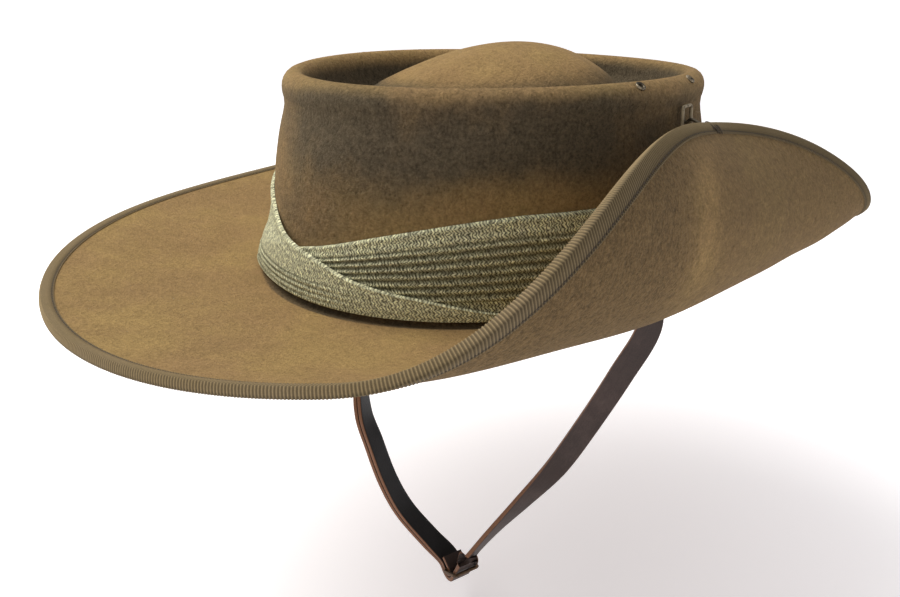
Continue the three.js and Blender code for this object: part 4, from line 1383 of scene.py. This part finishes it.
@dataclass(frozen=True)
class Vents:
    """Eyelets in the roll: two on each side."""

    TURNS: ClassVar[dict[str, float]] = {
        "vent_left_front": -7.4,
        "vent_left_back": 15.0,
        "vent_right_back": 165.0,
        "vent_right_front": 187.4,
    }
    DROP: ClassVar[float] = 1.2
    shape: HatShape
    bore: float = 1.0
    wall: float = 0.5
    flange: float = 1.95
    flange_thickness: float = 0.3
    flange_seat: float = 0.25
    curl: float = -0.3
    gap: float = 0.3

    @classmethod
    def height(cls, shape: HatShape) -> float:
        """Height of the vents above the brim."""
        return shape.ridge_height - cls.DROP

    def profile(self) -> Array:
        """The eyelet's closed section: radius and height, with a rolled flange."""
        base = self.shape.thickness / 2 + self.gap
        barrel = self.bore + self.wall
        centre = (self.bore + self.flange) / 2
        seat = self.flange_seat
        angle = np.radians(np.linspace(200, -20, 12))
        rolled = np.stack(
            [
                centre + (self.flange - self.bore) / 2 * np.cos(angle),
                base - seat + (self.flange_thickness + seat) * np.maximum(np.sin(angle), self.curl),
            ],
            -1,
        )
        under = base - self.gap
        lower = [(self.flange - 0.1, under), (barrel, under), (barrel, -base), (self.bore, -base)]
        return np.concatenate([rolled, lower])

    def build(self) -> list[Piece]:
        """Makes the four eyelets, each its section carried round its axis."""
        metal = Metal.EYELET.material()
        profile = self.profile()
        pieces = []
        for name, turn in self.TURNS.items():
            place, facing, rise = self.shape.crown_frame(math.radians(turn), self.height(self.shape))
            side = np.cross(facing, rise)
            angle = np.arange(28)[:, None, None] * 2 * np.pi / 28
            outward = np.cos(angle) * side + np.sin(angle) * rise
            points = place + outward * profile[None, :, :1] + facing * profile[None, :, 1:]
            eyelet = Surface(points, wrap_rows=True)
            pieces.append(eyelet.build(name.replace("vent", "eyelet"), metal))
        return pieces


@dataclass(frozen=True)
class Bend:
    """A point of the hook's end. stand and up: in shares of the loop's stand and length."""

    stand: float
    up: float


@dataclass(frozen=True)
class Stitch:
    """A thread over the brim's edge at the hook, in millimetres.

    Attributes:
        along: Its place along the edge.
        slant: How far it wanders along the edge.
        down: How far it reaches down the ribbon's outer side.
        stand: How far it stands above the edge.
    """

    along: float
    slant: float
    down: float
    stand: float


@dataclass(frozen=True)
class Fastening:
    """The wire loop on the crown, its cloth tab, and the hook sewn to the turned-up edge."""

    shape: HatShape
    ribbon: Binding
    gap: float = 0.3
    loop_wire: float = 0.65
    loop_width: float = 8.6
    loop_length: float = 13.0
    loop_turn: float = 8.3
    loop_drop: float = 22.5
    tab_width: float = 4.2
    tab_length: float = 8.0
    tab_thickness: float = 0.8
    tab_corner: float = 0.25
    hook_wire: float = 0.55
    hook_turn: float = 3.6
    hook_shank: float = 4.0
    thread_radius: float = 0.2
    thread_clear: float = 0.3
    thread_over: float = 0.5
    thread_inside: float = 0.8
    thread_back: float = 0.25
    edge_radius: float = 100.0
    hook_bends: tuple[Bend, ...] = (Bend(1.35, 0.62), Bend(0.82, 0.55), Bend(0.41, 0.66), Bend(0.41, 1))
    stitches: tuple[Stitch, ...] = (
        Stitch(-6.4, 0.4, 2.6, 0.0),
        Stitch(-5.6, -0.6, 3.9, 0.2),
        Stitch(-4.8, 0.7, 4.1, 0.9),
        Stitch(-4.2, -0.3, 3.4, 0.1),
        Stitch(-3.4, 0.6, 4.2, 0.2),
        Stitch(-2.6, -0.8, 3.0, 0.0),
    )

    @property
    def tab_back(self) -> float:
        """Height of the tab's middle above the crown."""
        return self.gap + self.tab_thickness / 2

    @property
    def loop_stand(self) -> float:
        """Height of the loop's lower bar above the crown."""
        return self.tab_back + self.tab_thickness / 2 + self.gap + self.loop_wire

    @property
    def loop_top_stand(self) -> float:
        """Height of the loop's upper bar above the crown."""
        return self.loop_stand + self.hook_wire + 2 * self.gap

    def on_crown(self, out: Number, across: Number, up: Number) -> Array:
        """Points in the loop's own directions: out of the crown, across it and up along it."""
        height = self.shape.ridge_height - self.loop_drop
        place, facing, rise = self.shape.crown_frame(math.radians(self.loop_turn), height)
        side = np.cross(facing, rise)
        place = place + facing * self.shape.thickness / 2
        parts = stack(out, across, up)
        return place + parts @ np.stack([facing, side, rise])

    def loop(self) -> Piece:
        """Makes the wire loop: a rectangle with round corners that leans out towards its top."""
        half = self.loop_width / 2 - self.loop_wire
        corner = half - self.tab_width / 2 - self.gap
        across, up = frame_outline(half, self.loop_length, corner)
        path = self.on_crown(lerp(self.loop_stand, self.loop_top_stand, up / self.loop_length), across, up)
        facing = self.on_crown(1.0, 0.0, 0.0) - self.on_crown(0.0, 0.0, 0.0)
        wire = wire_round(path, 72, facing, self.loop_wire)
        return wire.build("crown_wire_loop", Metal.WIRE.material())

    def tab(self, cloth: Material) -> Piece:
        """Makes the tab: a strip folded round the loop's lower bar, with both ends down."""
        bend = self.loop_wire + self.gap + self.tab_thickness / 2
        angle = np.radians(np.linspace(180, 0, 17))
        out = self.loop_stand + bend * np.cos(angle)
        up = bend * np.sin(angle)
        down = -np.linspace(self.tab_length, 0.5, 10)
        outs = np.concatenate([np.full(10, out[0]), out, np.full(10, out[-1])])
        ups = np.concatenate([down, up, down[::-1]])
        path = self.on_crown(outs, 0.0, ups)
        across = self.on_crown(0.0, 1.0, 0.0) - self.on_crown(0.0, 0.0, 0.0)
        section = rounded_bar(self.tab_width, self.tab_thickness, self.tab_corner, 2, 6)
        points = sweep(path, across, section)
        uv = flat_map(section[:, 0], lengths_along(path)[:, None])
        masks = {name: np.zeros(1) for name in ("hollow", "hem", "painted_light")}
        return Surface(points, cap=True, uv=uv, masks=masks).build("crown_cloth_tab", cloth, 50)

    def on_edge(self, depth: float, height: float, along: float = 0.0) -> Array:
        """A point by the hook: a depth in from the brim's edge, a height and a way along it."""
        turn = np.array([math.radians(self.hook_turn) + along / self.edge_radius])
        return self.ribbon.on_ribbon(turn, np.array([depth]), np.array([height]))[0]

    def hook(self) -> Piece:
        """Makes the hook: it lies on the ribbon, crosses to the crown and turns up in the loop."""
        stand = self.ribbon.outside + self.gap + self.hook_wire
        reach, length = self.loop_top_stand, self.loop_length
        points = [self.on_edge(depth, stand) for depth in (self.hook_shank, self.hook_shank / 2, 0.3)]
        points += [self.on_crown(reach * bend.stand, 0.0, length * bend.up) for bend in self.hook_bends]
        path = through(np.array(points), 8)
        points = sweep(path, np.array([0.0, 1.0, 0.0]), ring(self.hook_wire, 10))
        return Surface(points, cap=True).build("brim_wire_hook", Metal.HOOK.material())

    def sewing(self, thread: Material) -> Piece:
        """Makes the stitches that hold the hook: threads that pass over the ribbon's folded edge."""
        face = self.ribbon.outside
        paths = []
        for stitch in self.stitches:
            crossed = stitch.along + stitch.slant
            start = self.on_edge(stitch.down, -face, stitch.along)
            clear = self.thread_clear
            middle = self.on_edge(stitch.down / 2, -face - clear, (stitch.along + crossed) / 2)
            beyond = self.ribbon.thickness + self.thread_over + stitch.stand
            over = self.on_edge(-beyond, -clear, crossed)
            back = self.on_edge(self.thread_inside, face + self.thread_back, crossed)
            end = self.on_edge(stitch.down / 2, face, stitch.along)
            paths.append(through(np.array([start, middle, over, back, end]), 6))
        points = sweep(np.stack(paths), np.array([0.3, 1.0, 0.1]), ring(self.thread_radius, 6))
        return Surface(points, cap=True).build("hook_threads", thread)


@dataclass(frozen=True)
class LeatherFinish:
    """Strap leather: a dark grained outer face, a black inner face and red-brown cut edges."""

    grain: Colour = (0.040, 0.025, 0.021, 1.0)
    worn: Colour = (0.082, 0.054, 0.046, 1.0)
    flesh: Colour = (0.010, 0.008, 0.008, 1.0)
    cut: Colour = (0.200, 0.085, 0.038, 1.0)

    def material(self) -> Material:
        """Makes the leather: grain cells, long creases, worn patches, and bare cut edges."""
        sheet = NodeSheet("leather")
        where = sheet.place()
        patch = sheet.noise(where, 55.0, 4.0, 0.6)
        cells = sheet.cells(where, 1300.0)
        crease = sheet.noise(sheet.cloth((0.9, 0.05, 1.0)), 3.0, 3.0, 0.6)
        base = sheet.mix(patch.between(0.4, 0.8) * 0.8, self.grain, self.worn)
        base = sheet.mix(sheet.mask("inner"), base, self.flesh)
        base = sheet.mix(sheet.mask("edge"), base, self.cut)
        base = sheet.shade(base, cells * 0.25 + crease * 0.5 + 0.62)
        height = cells * 0.5 + crease * 0.8
        return sheet.close(
            Base_Color=base,
            Roughness=patch * 0.25 + 0.36,
            Specular_IOR_Level=0.3,
            Normal=sheet.bump(height, 0.16, 0.6),
        )


@dataclass(frozen=True)
class Station:
    """A place on a strand. right and front: in shares of the crown's half sizes.

    down: in shares of the drop. edge: where the strap's forward edge points, in degrees.
    """

    right: float
    front: float
    down: float
    edge: float


@dataclass(frozen=True)
class ChinStrap:
    """The leather strap: a loop that hangs from both sides and is held by a wire buckle."""

    shape: HatShape
    finish: LeatherFinish = LeatherFinish()
    width: float = 10.5
    thickness: float = 2.2
    corner: float = 0.45
    drop: float = 159.0
    height: float = 9.0
    bend: float = 12.0
    bend_margin: float = 0.03
    right_exit: float = 4.0
    left_exit: float = 14.0
    fold_length: float = 6.0
    buckle_wire: float = 0.9
    buckle_length: float = 9.0
    buckle_corner: float = 1.2
    buckle_edge: float = -100.0
    right_leave: float = 34.0
    left_leave: float = 116.0
    gap: float = 0.3
    side_gap: float = 0.45
    wall_gap: float = 0.6
    cut_edge: tuple[float, float] = (0.28, 0.05)
    flesh_side: tuple[float, float] = (0.3, 0.6)
    tail_rows: int = 8
    fineness: int = 10
    heel: Station = Station(-0.192, 0.36, 1.0, -100)
    right_strand: tuple[Station, ...] = (
        Station(0.0, 0.385, 0.94, -84),
        Station(0.165, 0.44, 0.855, -78),
        Station(0.275, 0.468, 0.765, -73),
        Station(0.41, 0.468, 0.655, -72),
        Station(0.52, 0.455, 0.58, -60),
        Station(0.68, 0.37, 0.45, -50),
        Station(0.83, 0.215, 0.285, -54),
        Station(0.93, 0.06, 0.13, -64),
    )
    left_strand: tuple[Station, ...] = (
        Station(-0.295, 0.35, 0.935, -86),
        Station(-0.39, 0.275, 0.83, -94),
        Station(-0.515, 0.185, 0.71, -111),
        Station(-0.645, 0.09, 0.58, -131),
        Station(-0.745, -0.003, 0.44, -140),
        Station(-0.88, -0.062, 0.26, -144),
        Station(-0.965, -0.12, 0.12, -132),
    )

    @property
    def fold_radius(self) -> float:
        """Distance of the fold's middle from the buckle's heel bar."""
        return self.buckle_wire + self.gap + self.thickness / 2

    @property
    def tail_radius(self) -> float:
        """Distance of the outer ply's middle from the heel bar."""
        return self.fold_radius + self.thickness + self.gap

    def placed(self, rows: Sequence[Station]) -> tuple[Array, Array]:
        """Places of a strand's stations, and the directions of the strap's width there."""
        right, front, down, edge = np.array([(r.right, r.front, r.down, r.edge) for r in rows]).T
        x = -right * self.shape.crown_half_width
        y = -front * self.shape.crown_half_length
        return stack(x, y, -down * self.drop), level(edge)

    def from_heel(self, angle: Number, distance: float, leave: float = 0.0, length: float = 0.0) -> Array:
        """Points at a distance from the heel bar in one direction, and then along another."""
        angle, leave = np.radians(angle), math.radians(leave)
        across = level(self.buckle_edge - 90)
        along = distance * np.cos(angle) + length * math.cos(leave)
        up = distance * np.sin(angle) + length * math.sin(leave)
        heel = self.placed([self.heel])[0][0]
        return heel + np.multiply.outer(along, across) + np.multiply.outer(up, np.array([0.0, 0.0, 1.0]))

    def inside_wall(self, turn: Array, up: Array) -> tuple[Array, Array, Array]:
        """Places inside the crown's wall, with the wall's own way up and its way to the front."""
        inset = self.shape.thickness / 2 + self.wall_gap + self.thickness / 2
        half = self.shape.ridge_height / 2
        foot = self.shape.crown_point(turn, 0.0, np.zeros_like(turn))
        rise = (self.shape.crown_point(turn, 0.0, np.full_like(turn, half)) - foot) / half
        facing = self.shape.crown_facing(turn, 0.0)
        forward = stack(facing[..., 1], -facing[..., 0], 0.0) * np.sign(np.cos(turn))[..., None]
        return foot + rise * up[..., None] - facing * inset, rise, forward

    def inside_bend(self, exit_back: float, side: int) -> tuple[Array, Array]:
        """The strap's turn from hanging straight down to lying round the back of the crown."""
        offside = math.asin(exit_back / self.shape.crown_half_length)
        start = offside if side > 0 else math.pi - offside
        angle = np.radians(np.linspace(0, 90, 13))
        backward = self.bend * (1 - np.cos(angle))
        up = self.height - self.bend * (1 - np.sin(angle))
        turn = start + side * backward / self.shape.crown_half_length
        place, rise, forward = self.inside_wall(turn, up)
        return place, forward * np.cos(angle)[:, None] + rise * np.sin(angle)[:, None]

    def route(self) -> tuple[Array, Array]:
        """The strap's middle line and the directions of its width, from the fold to the free end."""
        across = level(self.buckle_edge)
        first = self.from_heel(self.right_leave + 90, self.fold_radius, self.right_leave, self.fold_length)
        turned = np.linspace(self.right_leave + 90, self.right_leave + 270, 28)
        fold = self.from_heel(turned, self.fold_radius)
        leave = self.from_heel(self.right_leave - 90, self.fold_radius, self.right_leave, self.fold_length)
        up_place, up_edge = self.placed(self.right_strand)
        down_place, down_edge = (part[::-1] for part in self.placed(self.left_strand))
        right_bend, right_across = self.inside_bend(self.right_exit, -1)
        left_bend, left_across = self.inside_bend(self.left_exit, 1)
        arrive = self.from_heel(
            self.left_leave + 90, self.tail_radius, self.left_leave, self.buckle_length + self.fold_length
        )
        right_places = np.concatenate([fold[-1:], leave[None], up_place, right_bend[:1]])
        right_edges = np.concatenate([[across, across], up_edge, right_across[:1]])
        left_places = np.concatenate([left_bend[:1], down_place, arrive[None]])
        left_edges = np.concatenate([left_across[:1], down_edge, [across]])
        half = self.shape.crown_half_length
        back_start = math.asin((self.left_exit + self.bend) / half) + self.bend_margin
        back_end = math.pi - math.asin((self.right_exit + self.bend) / half) - self.bend_margin
        turn = np.linspace(back_end, back_start, 100)
        back, back_across, _ = self.inside_wall(turn, np.full_like(turn, self.height))
        wrapped = np.linspace(self.left_leave + 90, self.right_leave + 270, 14)
        wrap = self.from_heel(wrapped, self.tail_radius)
        tail = through(right_places[: self.tail_rows], self.fineness)
        tail_across = unit(through(right_edges[: self.tail_rows], self.fineness))
        _, inward = square_to(tail, tail_across)
        tail = tail - inward * (self.tail_radius - self.fold_radius)
        stretches = (
            (first[None], across),
            (fold[:-1], across),
            (through(right_places, self.fineness), through(right_edges, self.fineness)),
            (right_bend[1:], right_across[1:]),
            (back, back_across),
            (left_bend[:0:-1], left_across[:0:-1]),
            (through(left_places, self.fineness), through(left_edges, self.fineness)),
            (wrap[:-1], across),
            (tail, tail_across),
        )
        edges = [np.broadcast_to(edge, places.shape) for places, edge in stretches]
        return np.concatenate([places for places, _ in stretches]), unit(np.concatenate(edges))

    def build(self) -> list[Piece]:
        """Makes the strap and its buckle."""
        path, across = self.route()
        section = rounded_bar(self.width, self.thickness, self.corner, 3, 10)
        points = sweep(path, across, section)
        run = lengths_along(path)
        LOG.info("strap length %.0f mm", run[-1])
        uv = flat_map(section[:, 0], run[:, None])
        edge = smoothstep(np.abs(section[:, 0]), *(self.width / 2 - part for part in self.cut_edge))
        inner = smoothstep(section[:, 1], *self.flesh_side)
        masks = {"edge": edge[None], "inner": inner[None]}
        strap = Surface(points, cap=True, uv=uv, masks=masks)
        leather = self.finish.material()
        return [strap.build("chin_strap_leather", leather, 50), self.buckle()]

    def buckle(self) -> Piece:
        """Makes the wire frame round the heel bar and the far bar, with round corners."""
        half = self.width / 2 + self.side_gap + self.buckle_wire
        stand = self.tail_radius + self.thickness / 2 + self.gap + self.buckle_wire
        far = self.from_heel(self.left_leave + 90, stand, self.left_leave, self.buckle_length)
        near = self.placed([self.heel])[0][0]
        reach = unit(far - near)
        across = level(self.buckle_edge)
        length = float(np.linalg.norm(far - near))
        x, y = frame_outline(half, length, self.buckle_wire * self.buckle_corner)
        path = near + x[:, None] * across + y[:, None] * reach
        wire = wire_round(path, 84, np.cross(across, reach), self.buckle_wire)
        return wire.build("buckle_wire_frame", Metal.BRONZE.material())


@dataclass(frozen=True)
class Lamp:
    """A soft square lamp aimed at the hat: its place in metres, size, power and colour."""

    name: str
    place: tuple[float, float, float]
    size: float
    power: float
    colour: tuple[float, float, float] = (1.0, 1.0, 1.0)


@dataclass(frozen=True)
class Studio:
    """The floor, the lamps, the sky and the camera."""

    floor: float = -0.176
    floor_size: float = 24.0
    wall_height: float = 1.6
    paper: Colour = (0.800, 0.800, 0.820, 1.0)
    paper_pale: Colour = (0.840, 0.840, 0.860, 1.0)
    # The floor's glow is painted light: glow_near is a dimmer, pinker painted shadow tone by the hat,
    # glow_far the light far off.
    glow_near: Colour = (0.430, 0.397, 0.393, 1.0)
    glow_far: Colour = (0.720, 0.700, 0.700, 1.0)
    glow_from: float = 0.17
    glow_to: float = 0.50
    sky: Colour = (0.96, 0.96, 0.98, 1.0)
    sky_strength: float = 0.42
    azimuth: float = 48.24
    elevation: float = 22.28
    distance: float = 0.3465
    target: tuple[float, float, float] = (-0.01288, -0.01443, -0.02706)
    focal: float = 715.2
    image_width: float = 900.0
    lamps: tuple[Lamp, ...] = (
        Lamp("key", (-0.7, -0.36, 1.2), 1.1, 20.0, (1.0, 0.97, 0.92)),
        Lamp("front", (1.2, -1.2, 0.6), 1.0, 1.0, (1.0, 0.98, 0.95)),
    )

    def build(self) -> None:
        """Makes everything round the hat."""
        self.ground()
        self.light()
        self.camera()

    def ground(self) -> None:
        """Makes the pale floor, with a low wall round its far edge so that no sky shows over it. The floor
        glows with painted light, dimmer and pinker near the hat as a painted shadow tone.
        """
        half, top = self.floor_size / 2, self.floor + self.wall_height
        corners = [(-half, -half), (half, -half), (half, half), (-half, half)]
        mesh = bpy.data.meshes.new("floor")
        places = [(x, y, z) for z in (self.floor, top) for x, y in corners]
        walls = [(i, i + 4, (i + 1) % 4 + 4, (i + 1) % 4) for i in range(4)]
        mesh.from_pydata(places, [], [(0, 1, 2, 3)] + walls)
        floor = bpy.data.objects.new("floor", mesh)
        bpy.context.scene.collection.objects.link(floor)
        sheet = NodeSheet("floor")
        tone = sheet.noise(sheet.place(), 3.0, 2.0, 0.5)
        base = sheet.mix(tone, self.paper, self.paper_pale)
        # Painted light: the floor glows, dimmer and pinker near the hat as painted shade, brighter far
        # off.
        distance = sheet.node("ShaderNodeVectorMath", {"operation": "LENGTH"}, {0: sheet.place()}, 1)
        away = distance.between(self.glow_from, self.glow_to)
        floor_finish = sheet.close(
            Base_Color=base,
            Roughness=0.8,
            Specular_IOR_Level=0.2,
            Emission_Color=sheet.mix(away, self.glow_near, self.glow_far),
            Emission_Strength=1.0,
        )
        mesh.materials.append(floor_finish)

    def light(self) -> None:
        """Makes the lamps and the sky."""
        for lamp in self.lamps:
            data = bpy.data.lights.new(lamp.name, "AREA")
            data.shape, data.size, data.energy, data.color = "SQUARE", lamp.size, lamp.power, lamp.colour
            made = bpy.data.objects.new(lamp.name, data)
            made.location = lamp.place
            made.rotation_euler = (-Vector(lamp.place)).to_track_quat("-Z", "Y").to_euler()
            bpy.context.scene.collection.objects.link(made)
        world = bpy.data.worlds.new("sky")
        world.use_nodes = True
        background = world.node_tree.nodes["Background"]
        background.inputs["Color"].default_value = self.sky
        background.inputs["Strength"].default_value = self.sky_strength
        bpy.context.scene.world = world
        bpy.context.scene.view_settings.view_transform = "Standard"

    def camera(self) -> None:
        """Makes the camera at the photograph's viewing angle."""
        data = bpy.data.cameras.new("camera")
        data.sensor_width = 36.0
        data.lens = self.focal / self.image_width * data.sensor_width
        azimuth, elevation = math.radians(self.azimuth), math.radians(self.elevation)
        level_part = math.cos(elevation)
        back = Vector(
            (math.sin(azimuth) * level_part, -math.cos(azimuth) * level_part, math.sin(elevation))
        )
        camera = bpy.data.objects.new("camera", data)
        camera.location = Vector(self.target) + back * self.distance
        camera.rotation_mode = "QUATERNION"
        camera.rotation_quaternion = back.to_track_quat("Z", "Y")
        data.clip_start, data.clip_end = 0.01, 50.0
        bpy.context.scene.collection.objects.link(camera)
        bpy.context.scene.camera = camera


def enrol(piece: Piece, slot: str, *nodes: str) -> None:
    """Makes a piece ride on the hat, in place of its CAD nodes."""
    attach(piece, "root")
    if nodes:
        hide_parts(*nodes)
    LOG.info("%s: %d faces", piece.name, len(piece.data.polygons))


def main() -> None:
    """Builds and dresses the hat piece by piece, then the studio."""
    logging.basicConfig(level=logging.INFO, format="%(name)s: %(message)s")
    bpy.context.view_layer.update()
    shape = HatShape()
    enrol(Felt(shape).build(), "felt", "felt_body")
    binding = Binding(shape)
    ribbon, stitches = binding.build()
    enrol(ribbon, "ribbon", "brim_binding")
    enrol(stitches, "ribbon")
    band = Band(shape)
    under, over = band.build()
    enrol(under, "band_cloth", "band_under_wrap")
    enrol(over, "band_cloth", "band_over_wrap")
    for name, eyelet in zip(Vents.TURNS, Vents(shape).build()):
        enrol(eyelet, "vent_metal", name)
    fastening = Fastening(shape, binding)
    enrol(fastening.loop(), "vent_metal", "crown_loop")
    enrol(fastening.tab(under.data.materials[0]), "band_cloth", "crown_loop_tab")
    enrol(fastening.hook(), "vent_metal", "brim_hook")
    enrol(fastening.sewing(stitches.data.materials[0]), "ribbon")
    strap, buckle = ChinStrap(shape).build()
    enrol(strap, "leather", "chin_strap")
    enrol(buckle, "buckle_metal", "buckle_frame")
    Studio().build()


if __name__ == "__main__":
    main()
